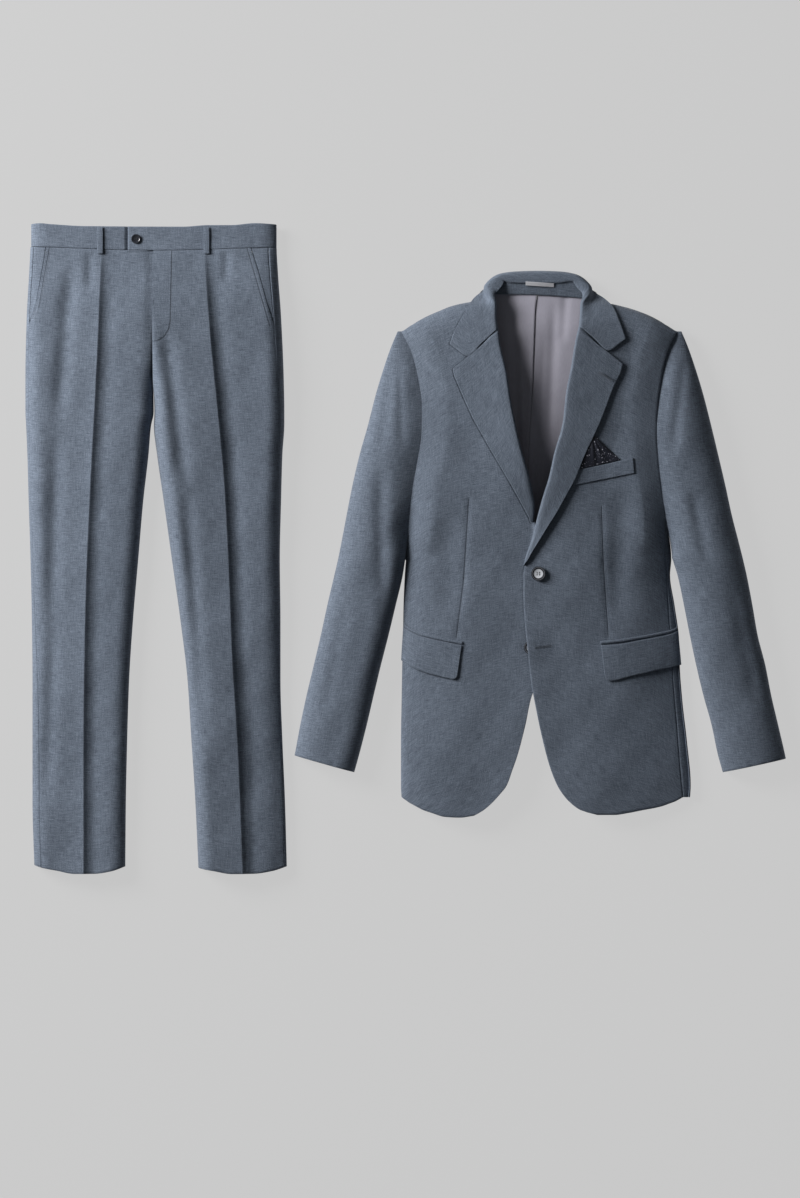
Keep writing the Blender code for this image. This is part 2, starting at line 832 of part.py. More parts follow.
def trouser_back(side, material):
    """One back panel: flat underneath, turned up round the side to its seam and up at the inside leg."""
    name = "right" if side < 0 else "left"
    downs = np.array((WAIST_STATION + 4,) + TROUSER_STATIONS)
    outline = read(LEGS, "down", "outer_" + name, downs)
    inner = read(LEGS, "down", "inner_" + name, downs) + side * SEAM
    seam = read(SIDE_SEAMS, "down", name, downs)
    join = read(LEG_JOIN, "down", "share", downs)
    rows = []
    facings = []
    for column in (1.0, 0.6, 0.25):
        across = outline - side * seam * column
        points, normals = lift(np.stack([across, downs], axis=-1), trouser_top)
        rows.append(points)
        facings.append(normals)
    sideways = np.stack([np.full_like(downs, side), np.zeros_like(downs), np.zeros_like(downs)], axis=-1)
    rows.append(np.stack([outline, downs, np.full_like(downs, TROUSER_EDGE)], axis=-1))
    facings.append(sideways)
    for turn in (30, 60, 90):
        inset = UNDER_ROUND * (1 - math.cos(math.radians(turn)))
        z = TROUSER_EDGE * (1 - math.sin(math.radians(turn)))
        rows.append(np.stack([outline - side * inset, downs, np.full_like(downs, z)], axis=-1))
        facings.append(turned(side, turn, downs))
    floor_start = outline - side * UNDER_ROUND
    floor_end = inner + side * UNDER_ROUND
    rows.append(np.stack([(floor_start + floor_end) / 2, downs, 0 * downs], axis=-1))
    facings.append(turned(side, 90, downs))
    for turn in (90, 60, 30, 0):
        inset = UNDER_ROUND * (1 - math.cos(math.radians(turn)))
        z = (TROUSER_EDGE - LEG_RIM) * (1 - math.sin(math.radians(turn))) * (1 - join)
        rows.append(np.stack([inner + side * inset, downs, z], axis=-1))
        free = turned(-side, turn, downs) * (1 - join)[:, None]
        facings.append(free + turned(side, 90, downs) * join[:, None])
    points = np.stack(rows, axis=1)
    normals = np.stack(facings, axis=1)
    normals /= np.linalg.norm(normals, axis=-1, keepdims=True)
    share = (points[..., 0] - outline[:, None]) / (inner - outline)[:, None]
    hem = read(HEM_DROP, "share", "drop", share if side < 0 else 1 - share * 0.9)
    v = (downs - WAIST_STATION) / (HEM_STATION - WAIST_STATION)
    points[..., 1] += hem * (v ** 12)[:, None]
    return wall("trouser_back_" + name, points, normals, CLOTH, material, TROUSER_PLACE)


def turned(side, turn, downs):
    """Outward direction at an angle below level, round a free edge."""
    direction = (side * math.cos(math.radians(turn)), 0.0, -math.sin(math.radians(turn)))
    return np.broadcast_to(np.array(direction), (len(downs), 3))


def band_top(across, down):
    """Height of the waistband's upper face."""
    return trouser_top(across, np.maximum(down, BAND_LOW)) + BAND_PROUD


def right_band_top(across, down):
    """The right end of the waistband goes under the tab."""
    return band_top(across, down) - TAB_DIP * ramp((across - TAB_END + 12) / 9)


def waistband_front(side, material):
    """One front half of the waistband; the left one runs on past the centre as a tab."""
    name = "right" if side < 0 else "left"
    outline = side * BAND_HALF
    if side < 0:
        inner = (-142, -118, -94, -70, -56, -50, -45, -41, -30, TAB_UNDER)
        across = np.concatenate([outline + TROUSER_ROUND * eased(5), inner])
        height = right_band_top
    else:
        inner = (TAB_END, -20, 10, 40, 70, 100, 130)
        across = np.concatenate([inner, (outline - TROUSER_ROUND * eased(5))[::-1]])
        height = band_top
    top = read(WAIST_TOP, "across", "down", across)
    bottom = read(WAIST_SEAM, "across", "down", across)
    down = np.stack([top + (bottom - top) * s for s in (0, 0.33, 0.67, 1)])
    plan = np.stack([np.broadcast_to(across, down.shape), down], axis=-1)
    points, normals = lift(plan, height)
    rim = "first_column" if side < 0 else "last_column"
    points[:, 0 if side < 0 else -1, 2] = TROUSER_EDGE + RIM
    normals[:, 0 if side < 0 else -1] = (side, 0, 0)
    return wall("waistband_" + name, points, normals, WAISTBAND, material, TROUSER_PLACE, rim)


def waistband_back(material):
    """The back of the waistband, flat underneath and turned up at both sides."""
    downs = np.array([6.0, 18.0, 30.0, 42.0])
    rows = []
    facings = []
    for side in (-1, 1):
        outline = np.full_like(downs, side * BAND_HALF)
        part = []
        facing = []
        for turn in (0, 30, 60, 90):
            inset = UNDER_ROUND * (1 - math.cos(math.radians(turn)))
            z = TROUSER_EDGE * (1 - math.sin(math.radians(turn)))
            part.append(np.stack([outline - side * inset, downs, np.full_like(downs, z)], axis=-1))
            facing.append(turned(side, turn, downs))
        rows += part if side < 0 else part[::-1]
        facings += facing if side < 0 else facing[::-1]
    points = np.stack(rows, axis=1)
    normals = np.stack(facings, axis=1)
    rims = "first_column last_column"
    return wall("waistband_back", points, normals, WAISTBAND, material, TROUSER_PLACE, rims)


def belt_loop(side, material):
    """A belt loop over the waistband, stitched at both ends and a little proud between."""
    name = "right" if side < 0 else "left"
    centre = -82.5 if side < 0 else 82.0
    downs = np.array([6.5, 9.5, 14, 20, 28, 36, 42, 45, 47.5])
    stand = np.array([0.5, 0.7, 1.2, 1.6, 1.6, 1.3, 1.0, 0.8, 0.6])
    across = np.linspace(centre - LOOP_HALF, centre + LOOP_HALF, 3)
    plan = np.stack(np.meshgrid(across, downs), axis=-1)
    under = np.maximum(band_top(plan[..., 0], plan[..., 1]), trouser_top(plan[..., 0], plan[..., 1]))
    level = np.broadcast_to(under.max(axis=1, keepdims=True), under.shape)
    points = np.dstack([plan, level + stand[:, None] + CLOTH])
    normals = grid_normals(points, (4, 1))
    return wall("belt_loop_" + name, points, normals, CLOTH, material, TROUSER_PLACE)


def seat(height, centre, radius):
    """The lowest level at which a flat disc clears a surface."""
    turns = np.linspace(0, math.tau, 25)
    reach = np.linspace(0, radius, 5)[:, None]
    return float(np.max(height(centre[0] + reach * np.cos(turns), centre[1] + reach * np.sin(turns)))) + SEAM


BUTTON_PROFILE = table(
    "radius height",
    (0.0, 0.62),
    (0.50, 0.62),
    (0.66, 0.78),
    (0.78, 1.0),
    (0.92, 0.96),
    (1.0, 0.66),
    (1.0, 0.3),
    (0.86, 0.0),
)


def four_hole_button(name, place, centre, base, radius, thick, material):
    """A turned button with a raised rim, a dished middle and four holes."""
    profile = zip(BUTTON_PROFILE["radius"] * radius * MM, BUTTON_PROFILE["height"] * thick * MM)
    bm = bmesh.new()
    spine = [bm.verts.new((reach, 0, height)) for reach, height in profile]
    spine.append(bm.verts.new((0, 0, 0)))
    edges = [bm.edges.new(pair) for pair in zip(spine, spine[1:])]
    bmesh.ops.spin(bm, geom=spine + edges, cent=(0, 0, 0), axis=(0, 0, 1), angle=math.tau, steps=20)
    bmesh.ops.remove_doubles(bm, verts=bm.verts[:], dist=1e-6)
    bmesh.ops.translate(
        bm,
        verts=bm.verts[:],
        vec=((place[0] + centre[0]) * MM, (place[1] - centre[1]) * MM, base * MM),
    )
    button = finish(name, bm, material)
    for number, (x, y) in enumerate(((-1, -1), (-1, 1), (1, -1), (1, 1))):
        cutter_mesh = bmesh.new()
        bmesh.ops.create_cone(
            cutter_mesh, cap_ends=True, segments=8, radius1=0.085 * radius * MM, radius2=0.085 * radius * MM,
            depth=3 * thick * MM,
        )
        cutter = finish(f"{name}_hole_{number}", cutter_mesh, material)
        cutter.location = (
            (place[0] + centre[0] + x * 0.17 * radius) * MM,
            (place[1] - centre[1] + y * 0.17 * radius) * MM,
            (base + thick / 2) * MM,
        )
        cutter.hide_render = True
        cutter.display_type = "WIRE"
        cut = button.modifiers.new(f"hole_{number}", "BOOLEAN")
        cut.operation = "DIFFERENCE"
        cut.object = cutter
    return button


def front_columns(width):
    """Distances of a jacket front's columns from its side."""
    near = np.broadcast_to(FRONT_NEAR, (len(width), len(FRONT_NEAR)))
    spread = FRONT_NEAR[-1] + (width[:, None] - FRONT_NEAR[-1]) * np.linspace(0, 1, 8)[1:]
    return np.concatenate([near, spread], axis=1)


def lapping_columns(width, lap, lead):
    """The same for the front that laps under, with columns where its dip starts and ends."""
    near = np.broadcast_to(FRONT_NEAR, (len(width), len(FRONT_NEAR)))
    last = width[:, None]
    start = np.minimum(width - lap - lead, width - DIP_RUN - 4)[:, None]
    spread = FRONT_NEAR[-1] + (start - FRONT_NEAR[-1]) * np.array([0.36, 0.7, 1.0])
    dip = start + np.array([0.5, 1.0]) * DIP_RUN
    return np.concatenate([near, spread, dip, (start + DIP_RUN + last) / 2, last], axis=1)


def jacket_front(side, material):
    """One front of the jacket, from the armhole and side to the neck, roll line and cutaway edge."""
    name = "right" if side < 0 else "left"
    downs = np.array(ARMHOLE_STATIONS + BODY_STATIONS, dtype=float)
    v = (downs - downs[0]) / (downs[-1] - downs[0])
    edge = RIGHT_FRONT_EDGE if side < 0 else LEFT_FRONT_EDGE
    hem = RIGHT_HEM if side < 0 else LEFT_HEM

    def outer(share):
        down = downs[0] + np.asarray(share) * (downs[-1] - downs[0])
        across = read(BODY_SIDES, "down", name, down)
        if side > 0:
            seam = read(LEFT_SIDE_SEAM, "down", "across", down)
            across = np.where(down > LEFT_SIDE_SEAM["down"][0], np.minimum(across, seam), across)
        return np.stack([across, down], axis=-1)

    def inner(share):
        return by_down(edge, share)

    def top(share):
        across = outer(0.0)[0] + (edge["across"][0] - outer(0.0)[0]) * np.asarray(share)
        return np.stack([across, read(SHOULDERS, "across", "down", across)], axis=-1)

    def bottom(share):
        across = outer(1.0)[0] + (edge["across"][-1] - outer(1.0)[0]) * np.asarray(share)
        return np.stack([across, read(hem, "across", "down", across)], axis=-1)

    width = np.abs(inner(v)[:, 0] - outer(v)[:, 0])
    if side < 0:
        lap = inner(v)[:, 0] - read(LEFT_FRONT_EDGE, "down", "across", inner(v)[:, 1])
        lead = read(FRONT_DIP, "down", "lead", inner(v)[:, 1])
        u = lapping_columns(width, lap, lead) / width[:, None]
    else:
        u = front_columns(width) / width[:, None]
    plan = coons(outer, inner, top, bottom, u, np.broadcast_to(v[:, None], u.shape))
    inset = np.where(downs > ARMPIT, 0.0, ARM_GAP / 2)
    if side > 0:
        inset = np.where(downs > LEFT_SIDE_SEAM["down"][0], SEAM / 2, inset)
    plan[:, 0, 0] -= side * inset
    points, normals = lift(plan, right_front_top if side < 0 else jacket_top)
    points[0, :, 2] = np.maximum(points[0, :, 2], JACKET_EDGE + RIM)
    if side < 0:
        points[len(ARMHOLE_STATIONS):, 0, 2] = JACKET_EDGE + RIM
    return wall("jacket_front_" + name, points, normals, CLOTH, material, JACKET_PLACE,
                "first_row first_column" if side < 0 else "first_row")


def jacket_side(side, material):
    """A side panel: its strip on top, round the free edge and a little way underneath."""
    name = "right" if side < 0 else "left"
    downs = np.array((404, 445) + BODY_STATIONS, dtype=float)
    outline = read(BODY_SIDES, "down", name, downs)
    low = read(UNDERARM, "down", "share", downs)
    rows = []
    facings = []
    if side > 0:
        seam = read(LEFT_SIDE_SEAM, "down", "across", downs) + SEAM / 2
        outline = outline - np.where(downs < ARMPIT, ARM_GAP / 2, 0.0)
        for share in (0, 0.45, 0.8):
            across = seam + (outline - seam) * share
            points, normals = lift(np.stack([across, downs], axis=-1), jacket_top)
            rows.append(points)
            facings.append(normals)
    else:
        outline = outline + np.where(downs < ARMPIT, ARM_GAP / 2, 0.0)
    for turn in (0, 30, 60, 90):
        inset = UNDER_ROUND * (1 - math.cos(math.radians(turn)))
        z = (JACKET_EDGE - (RIM if side < 0 else 0)) * (1 - math.sin(math.radians(turn))) * low
        if side > 0 and turn == 0:
            z = jacket_top(outline, downs)
        rows.append(np.stack([outline - side * inset, downs, z], axis=-1))
        free = turned(side, turn, downs) * low[:, None]
        facings.append(free + turned(side, 90, downs) * (1 - low)[:, None])
    rows.append(np.stack([np.interp(downs, *UNDER_SEAMS[name]), downs, 0 * downs], axis=-1))
    facings.append(turned(side, 90, downs))
    points = np.stack(rows, axis=1)
    normals = np.stack(facings, axis=1)
    normals /= np.linalg.norm(normals, axis=-1, keepdims=True)
    level = "first_column" if side < 0 else ""
    return wall("jacket_side_" + name, points, normals, CLOTH, material, JACKET_PLACE, level)


def back_height(across, down):
    """Height of the back: flat, and turned up along the shoulder."""
    distance = down - read(SHOULDERS, "across", "down", across)
    return (JACKET_EDGE - RIM) * (1.0 - arch(distance, UNDER_ROUND))


def jacket_back(side, material):
    """One back half, flat underneath, turned up along the shoulder, with the vent spread below."""
    name = "right" if side < 0 else "left"
    downs = np.array(BACK_STATIONS, dtype=float)
    v = (downs - downs[0]) / (downs[-1] - downs[0])
    centre = RIGHT_BACK_CENTRE if side < 0 else LEFT_BACK_CENTRE
    across = np.linspace(*BACK_CORNERS[name], 6)
    shoulder = np.stack([across, read(SHOULDERS, "across", "down", across)], axis=-1)
    shoulder[0, 1] = downs[0]
    upper = np.concatenate([shoulder, BACK_NECK[name], [(centre["across"][0], centre["down"][0])]])
    upper = {"across": upper[:, 0], "down": upper[:, 1]}

    def outer(share):
        down = downs[0] + share * (downs[-1] - downs[0])
        arm = read(BODY_SIDES, "down", name, down) - side * ARM_GAP / 2
        seam = np.interp(down, *UNDER_SEAMS[name]) - side * SEAM
        return np.stack([np.where(down < 403, arm, seam), down], axis=-1)

    def inner(share):
        return by_down(centre, share)

    def top(share):
        return along(upper, "across", "down", share)

    def bottom(share):
        ends = np.array([outer(np.array(1.0)), inner(np.array(1.0))])
        share = np.asarray(share)[..., None]
        return ends[0] * (1 - share) + ends[1] * share

    u = np.broadcast_to(np.array(BACK_COLUMNS), (len(downs), len(BACK_COLUMNS)))
    plan = coons(outer, inner, top, bottom, u, np.broadcast_to(v[:, None], u.shape))
    points, normals = lift(plan, back_height, -1)
    points[3:, :, 2] = 0.0
    normals[3:] = (0, 0, -1)
    return wall("jacket_back_" + name, points, normals, CLOTH, material, JACKET_PLACE)


def sleeve_plan(side, downs, distances):
    """Plan points of a sleeve, its rows tilting towards the cuff."""
    name = "right" if side < 0 else "left"
    rows = SLEEVE_RIGHT if side < 0 else SLEEVE_LEFT
    tilt = CUFF_TILT[name] * ramp((downs - 445) / (776 - 445))
    outer_down = downs - tilt
    outer = np.stack([read(rows, "down", "outer", outer_down), outer_down], axis=-1)
    inner = np.stack([sleeve_inner(side, downs), downs], axis=-1)
    inner[:, 0] += side * ARM_GAP / 2 * (downs < ARMPIT)
    width = np.abs(inner[:, 0] - outer[:, 0])[:, None]
    from_outer = np.minimum(np.array(distances), width * 0.46)
    u = np.concatenate([from_outer / width, (1 - from_outer / width)[:, ::-1]], axis=1)
    return outer[:, None] * (1 - u)[..., None] + inner[:, None] * u[..., None]


def upper_sleeve(side, material):
    """The upper half of a sleeve, from its outer edge to the armhole seam and inner edge."""
    name = "right" if side < 0 else "left"
    downs = np.array(ARMHOLE_STATIONS + SLEEVE_STATIONS, dtype=float)
    plan = sleeve_plan(side, downs, (0, 1.6, 7, 17, 32))
    points, normals = lift(plan, sleeve_top(side))
    points[:, 0, 2] = JACKET_EDGE + RIM
    points[len(ARMHOLE_STATIONS):, -1, 2] = JACKET_EDGE + RIM
    return wall("upper_sleeve_" + name, points, normals, CLOTH, material, JACKET_PLACE, "first_column")


def under_sleeve(side, material):
    """The under half of a sleeve, flat where it rests and turned up at its edges."""
    name = "right" if side < 0 else "left"
    downs = np.array((94, 97, 106, 124, 188, 275, 362, 404, 445) + SLEEVE_STATIONS, dtype=float)
    low = read(UNDERARM, "down", "share", downs)
    plan = sleeve_plan(side, downs, (0, 1.2, 4.5, 9))
    turns = (0, 30, 60, 90, 90, 60, 30, 0)
    points = np.zeros(plan.shape[:2] + (3,))
    points[..., :2] = plan
    normals = np.zeros_like(points)
    for column, turn in enumerate(turns):
        outer_half = column < len(turns) / 2
        share = np.ones_like(low) if outer_half else low
        points[:, column, 2] = (JACKET_EDGE - RIM) * (1 - math.sin(math.radians(turn))) * share
        face = turned(side if outer_half else -side, turn, downs)
        normals[:, column] = face * share[:, None] + turned(side, 90, downs) * (1 - share)[:, None]
    normals /= np.linalg.norm(normals, axis=-1, keepdims=True)
    return wall("under_sleeve_" + name, points, normals, CLOTH, material, JACKET_PLACE, "first_column")


def lapel(side, material):
    """A lapel: round the roll line from underneath, then over the front to its outer edge."""
    name = "right" if side < 0 else "left"
    rows = LAPEL_RIGHT if side < 0 else LAPEL_LEFT
    roll = np.stack([rows["roll_across"], rows["roll_down"]], axis=-1)
    outer = np.stack([rows["outer_across"], rows["outer_down"]], axis=-1)
    span = outer - roll
    width = np.linalg.norm(span, axis=-1)
    direction = span / width[:, None]
    depth = rows["depth"]
    top = LAPEL_CLEAR + CLOTH
    columns = []
    for distance, share in zip(LAPEL_HOOK["distance"], LAPEL_HOOK["share"]):
        plan = roll + direction * (distance * rows["hook"])[:, None]
        base = jacket_top(plan[:, 0], plan[:, 1])
        rise = share * (depth if share < 0 else top)
        columns.append(np.concatenate([plan, (base + rise)[:, None]], axis=-1))
    start = LAPEL_HOOK["distance"][-1] * rows["hook"]
    for share in LAPEL_COLUMNS:
        plan = roll + direction * (start + (width - start) * share)[:, None]
        base = jacket_top(plan[:, 0], plan[:, 1])
        raised = read(LAPEL_LIFT, "share", "lift", np.linspace(0, 1, len(width))) * share
        columns.append(np.concatenate([plan, (base + top + raised)[:, None]], axis=-1))
    points = np.stack(columns, axis=1)
    normals = grid_normals(points, (4, -2))
    return wall("lapel_" + name, points, normals, CLOTH, material, JACKET_PLACE)


def collar_leaf(material):
    """The collar's outer leaf: over the fronts at its ends, and round the neck to the surface behind."""
    count = len(COLLAR["fall"])
    roll = np.stack([COLLAR["roll_across"], COLLAR["roll_down"]], axis=-1)
    edge = np.stack([COLLAR["edge_across"], COLLAR["edge_down"]], axis=-1)
    span = edge - roll
    width = np.linalg.norm(span, axis=-1)
    direction = span / width[:, None]
    fall = COLLAR["fall"]
    top = LAPEL_CLEAR + CLOTH
    reach = COLLAR_ROLL["distance"]
    columns = []
    for number, (distance, rise, crest) in enumerate(zip(*COLLAR_ROLL.values())):
        plan = roll + direction * distance
        base = jacket_top(plan[:, 0], np.maximum(plan[:, 1], 40.0))
        lying = np.concatenate([plan, (base + rise + COLLAR["height"])[:, None]], axis=-1)
        back_plan = roll + direction * (-10 + (width[:, None] + 10) * number / (len(reach) - 1))
        standing = np.concatenate([back_plan, np.full((count, 1), crest)], axis=-1)
        columns.append(lying * (1 - fall)[:, None] + standing * fall[:, None])
    for share, dip, inward, low in zip(*COLLAR_FALL.values()):
        plan = roll + direction * (reach[-1] + (width - reach[-1]) * share)[:, None]
        plan = plan + np.stack([np.zeros(count), COLLAR["notch"] * dip], axis=-1)
        base = jacket_top(plan[:, 0], plan[:, 1])
        lying = np.concatenate([plan, (base + top + COLLAR["height"])[:, None]], axis=-1)
        back_plan = roll + direction * (width - inward)[:, None]
        standing = np.concatenate([back_plan, np.full((count, 1), low)], axis=-1)
        columns.append(lying * (1 - fall)[:, None] + standing * fall[:, None])
    points = np.stack(columns, axis=1)
    normals = grid_normals(points, (2, 7))
    return wall("collar_leaf", points, normals, CLOTH, material, JACKET_PLACE)


def neck_height(down):
    """Height of the collar's inside between its roll and the lining."""
    return read(NECK, "down", "height", down)


def collar_stand(material):
    """The stand: the band inside the back neck."""
    across = np.linspace(-57, 65, 9)
    bow = 1 - ((across - 4) / 61) ** 2
    rows = []
    for share in (0, 0.33, 0.67, 1):
        down = 23 - 1.5 * bow + (38 + 2.5 * (across - 4) / 61 - 23) * share
        rows.append(np.stack([across, down, neck_height(down)], axis=-1))
    points = np.stack(rows)
    normals = grid_normals(points, (1, 4))
    return wall("collar_stand", points, normals, CLOTH, material, JACKET_PLACE)


def lining_back(side, material):
    """One half of the back lining that shows in the neck, stepped along its centre pleat."""
    name = "right" if side < 0 else "left"
    downs = np.array(LINING_STATIONS, dtype=float)
    pleat = read(LINING_PLEAT, "down", "across", downs)
    outer = read(LINING_EDGES, "down", name, downs)
    inner = pleat + side * SEAM / 2
    across = np.stack([outer + (inner - outer) * s for s in (0, 0.33, 0.67, 1)], axis=-1)
    z = 6.0 + 1.4 * np.array([0, 0.5, 0.9, 1.0]) + (1.6 if side < 0 else 0) * np.array([0, 0.2, 0.7, 1.0])
    down = np.broadcast_to(downs[:, None], across.shape)
    points = np.stack([across, down, np.broadcast_to(z, across.shape)], axis=-1)
    normals = grid_normals(points, (2, 1))
    return wall("lining_back_" + name, points, normals, LINING, material, JACKET_PLACE)


def overlay(name, corners, columns, rows, gap, thickness, material):
    """A small piece on a front: a four-cornered plan, on the front's own height moved out."""
    first, second, third, fourth = (np.array(c, dtype=float) for c in corners)
    u = np.linspace(0, 1, columns)[None, :, None]
    v = np.linspace(0, 1, rows)[:, None, None]
    plan = (first * (1 - u) + second * u) * (1 - v) + (fourth * (1 - u) + third * u) * v
    points, normals = lift(plan, jacket_top)
    points = points + normals * (gap + thickness)
    return wall(name, points, normals, thickness, material, JACKET_PLACE)


def flap(side, material):
    """A pocket flap with its rounded free corner, on the front moved out."""
    name = "right" if side < 0 else "left"
    share = np.array([0, 0.05, 0.12, 0.25, 0.5, 0.75, 0.94, 1.0])
    upper = along(FLAP_TOPS[name], "across", "down", share)
    lower = along(FLAP_BOTTOMS[name], "across", "down", share)
    plan = np.stack([upper + (lower - upper) * s for s in (0, 0.5, 1)])
    points, normals = lift(plan, jacket_top)
    points = points + normals * (FLAP_GAP + CLOTH)
    return wall("flap_" + name, points, normals, CLOTH, material, JACKET_PLACE)


def jet(side, material):
    """The narrow jet above a pocket flap."""
    name = "right" if side < 0 else "left"
    share = np.array([0, 0.05, 0.12, 0.25, 0.5, 0.75, 1.0])
    middle = along(JETS[name], "across", "down", share)
    plan = np.stack([middle + (0, offset) for offset in (-2.4, 2.2)])
    points, normals = lift(plan, jacket_top)
    points = points + normals * (JET_GAP + JET)
    return wall("jet_" + name, points, normals, JET, material, JACKET_PLACE)


def hanger_loop(material):
    """The narrow loop across the back of the neck."""
    shares = np.linspace(0, 1, 7)
    across = -16 + 44 * shares
    middle = 17.5 + 8 * shares
    stand = 2.6 - 1.1 * shares + 0.9 * np.sin(shares * math.pi)
    tilt = 0.6 - 0.18 * shares
    rows = []
    for offset in (-3.2, 3.2):
        rows.append(np.stack([across, middle + offset, neck_height(middle) + stand - tilt * offset], axis=-1))
    points = np.stack(rows)
    normals = grid_normals(points, (0, 3))
    return wall("hanger_loop", points, normals, LINING, material, JACKET_PLACE)


def main():
    for old in list(bpy.data.objects):
        bpy.data.objects.remove(old)
    cloth = finish_material("suit_cloth", (0.105, 0.13, 0.17), 0.85)
    lining = finish_material("lining", (0.13, 0.12, 0.15), 0.45)
    square = finish_material("pocket_square", (0.02, 0.025, 0.05), 0.5)
    satin = finish_material("hanger_loop", (0.45, 0.45, 0.48), 0.35)
    horn = finish_material("button", (0.02, 0.02, 0.025), 0.2)
    for side in (-1, 1):
        trouser_front(side, cloth)
        trouser_back(side, cloth)
        pocket_facing(side, cloth)
        waistband_front(side, cloth)
        belt_loop(side, cloth)
        jacket_front(side, cloth)
        jacket_side(side, cloth)
        jacket_back(side, cloth)
        upper_sleeve(side, cloth)
        under_sleeve(side, cloth)
        lapel(side, cloth)
        lining_back(side, lining)
        flap(side, cloth)
        jet(side, cloth)
    waistband_back(cloth)
    collar_leaf(cloth)
    collar_stand(cloth)
    hanger_loop(satin)
    overlay("breast_welt", BREAST_WELT, 6, 3, 0.5, 1.4, cloth)
    overlay("pocket_square", POCKET_SQUARE, 4, 5, 0.4, 1.2, square)
    base = seat(band_top, WAIST_BUTTON, WAIST_BUTTON_RADIUS)
    four_hole_button(
        "waist_button", TROUSER_PLACE, WAIST_BUTTON, base, WAIST_BUTTON_RADIUS, WAIST_BUTTON_THICK, horn
    )
    for name, centre, surface in (
        ("button_front_upper", UPPER_BUTTON, jacket_top),
        ("button_front_lower", LOWER_BUTTON, right_front_top),
    ):
        base = seat(surface, centre, FRONT_BUTTON_RADIUS)
        four_hole_button(
            name, JACKET_PLACE, centre, base, FRONT_BUTTON_RADIUS, FRONT_BUTTON_THICK, horn
        )


if __name__ == "__main__":
    main()
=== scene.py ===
"""Looks of a two-piece suit laid flat: trousers on the left and a two-button jacket on the right.

Lengths are millimetres until a mesh is made. Each garment has its own plan: across runs to the
right, down runs from its top edge to its hem, and height is above the surface that it lies on.
The wearer's right side is on the left, at negative across.
"""
import math

import bpy
import numpy as np
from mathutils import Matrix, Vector

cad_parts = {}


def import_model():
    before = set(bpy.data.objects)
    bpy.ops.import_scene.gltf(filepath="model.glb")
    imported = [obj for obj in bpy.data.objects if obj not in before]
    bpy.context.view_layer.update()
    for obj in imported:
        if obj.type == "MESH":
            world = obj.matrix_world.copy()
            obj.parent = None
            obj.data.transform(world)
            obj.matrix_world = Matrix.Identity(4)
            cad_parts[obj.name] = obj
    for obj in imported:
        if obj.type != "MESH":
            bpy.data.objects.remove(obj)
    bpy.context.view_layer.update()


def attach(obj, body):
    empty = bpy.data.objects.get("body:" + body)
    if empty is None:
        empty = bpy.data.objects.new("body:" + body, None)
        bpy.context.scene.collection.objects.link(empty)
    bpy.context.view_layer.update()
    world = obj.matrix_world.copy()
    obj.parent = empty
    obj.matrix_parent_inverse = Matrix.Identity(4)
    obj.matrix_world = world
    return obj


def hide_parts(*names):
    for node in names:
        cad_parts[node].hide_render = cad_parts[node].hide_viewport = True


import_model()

bl_info = {
    "name": "Laid-out suit",
    "version": (1, 0, 0),
    "blender": (4, 5, 0),
    "location": "3D View > Sidebar > Suit",
    "description": "Dresses the packed suit with its cloth, sewing, buttons and studio stage",
    "category": "Object",
}

MM = 0.001

# Cloth
CLOTH = 1.6
WAISTBAND = 2.6
LINING = 1.0
SEAM = 0.3
RIM = 0.35
LEG_RIM = 0.5

# Places of the two garments' own zero points
TROUSER_PLACE = (-389.5, 503.1)
JACKET_PLACE = (201.9, 430.1)

# Trousers
TROUSER_EDGE = 10.0
TROUSER_ROUND = 26.0
LEG_INNER_ROUND = 24.0
UNDER_ROUND = 9.0
BAND_HALF = 190.0
BAND_LOW = 20.0
BAND_PROUD = 0.7
TAB_END = -39.5
TAB_DIP = 2.9
TAB_UNDER = 6.0
LOOP_HALF = 4.4
WAIST_BUTTON = (-27.0, 24.5)
WAIST_BUTTON_RADIUS = 7.3
WAIST_BUTTON_THICK = 2.6

# Jacket
JACKET_EDGE = 14.0
SIDE_ROUND = 110.0
ARMHOLE_ROUND = 42.0
SHOULDER_ROUND = 34.0
SLEEVE_ROUND = 50.0
ARM_GAP = 0.6
ARMPIT = 447
LAPEL_CLEAR = 2.8
FRONT_BUTTON_RADIUS = 11.2
FRONT_BUTTON_THICK = 3.6
UPPER_BUTTON = (3.0, 469.0)
LOWER_BUTTON = (-8.0, 583.0)
FLAP_GAP = 1.0
JET = 1.2
JET_GAP = 0.9


def runs(*points):
    """Straight runs from each point of a path to the next."""
    return tuple(zip(points[:-1], points[1:]))


def table(names, *rows):
    """Rows of numbers under named columns."""
    return dict(zip(names.split(), np.array(rows, dtype=float).T))


LEGS = table(
    "down outer_right inner_right inner_left outer_left",
    (0, -190, 0, 0, 190), (40, -191, 0, 0, 190), (80, -193, 0, 0, 192), (150, -197, -1, -1, 197),
    (240, -199, -1, -1, 201), (293, -199, 0, 1, 202), (312, -198, -4, 0, 202), (358, -196, -8, 5, 199),
    (428, -194, -16, 15, 197), (521, -191, -24, 28, 195), (614, -189, -32, 41, 196),
    (707, -188, -38, 52, 196), (800, -188, -41, 58, 199), (893, -188, -43, 64, 203),
    (1000, -185, -44, 69, 206),
)
TROUSER_CROWN = table(
    "down height",
    (0, 21), (40, 22), (120, 31), (240, 35), (330, 34), (520, 30), (760, 27), (1000, 25),
)
LEG_JOIN = table("down share", (0, 1), (120, 1), (210, 0.75), (293, 0), (1000, 0))
FLY = table("down lap dip", (0, 8, 1.9), (125, 8, 1.9), (158, 0, 1.9), (200, 0, 0), (1000, 0, 0))
WAIST_TOP = table(
    "across down",
    (-190, 1), (-177, 0), (-159, 1.5), (-103, 4.6), (46, 5.4), (85, 3), (120, 3), (157, 0), (190, 1.5),
)
WAIST_SEAM = table("across down", (-192, 36), (0, 42), (192, 37))
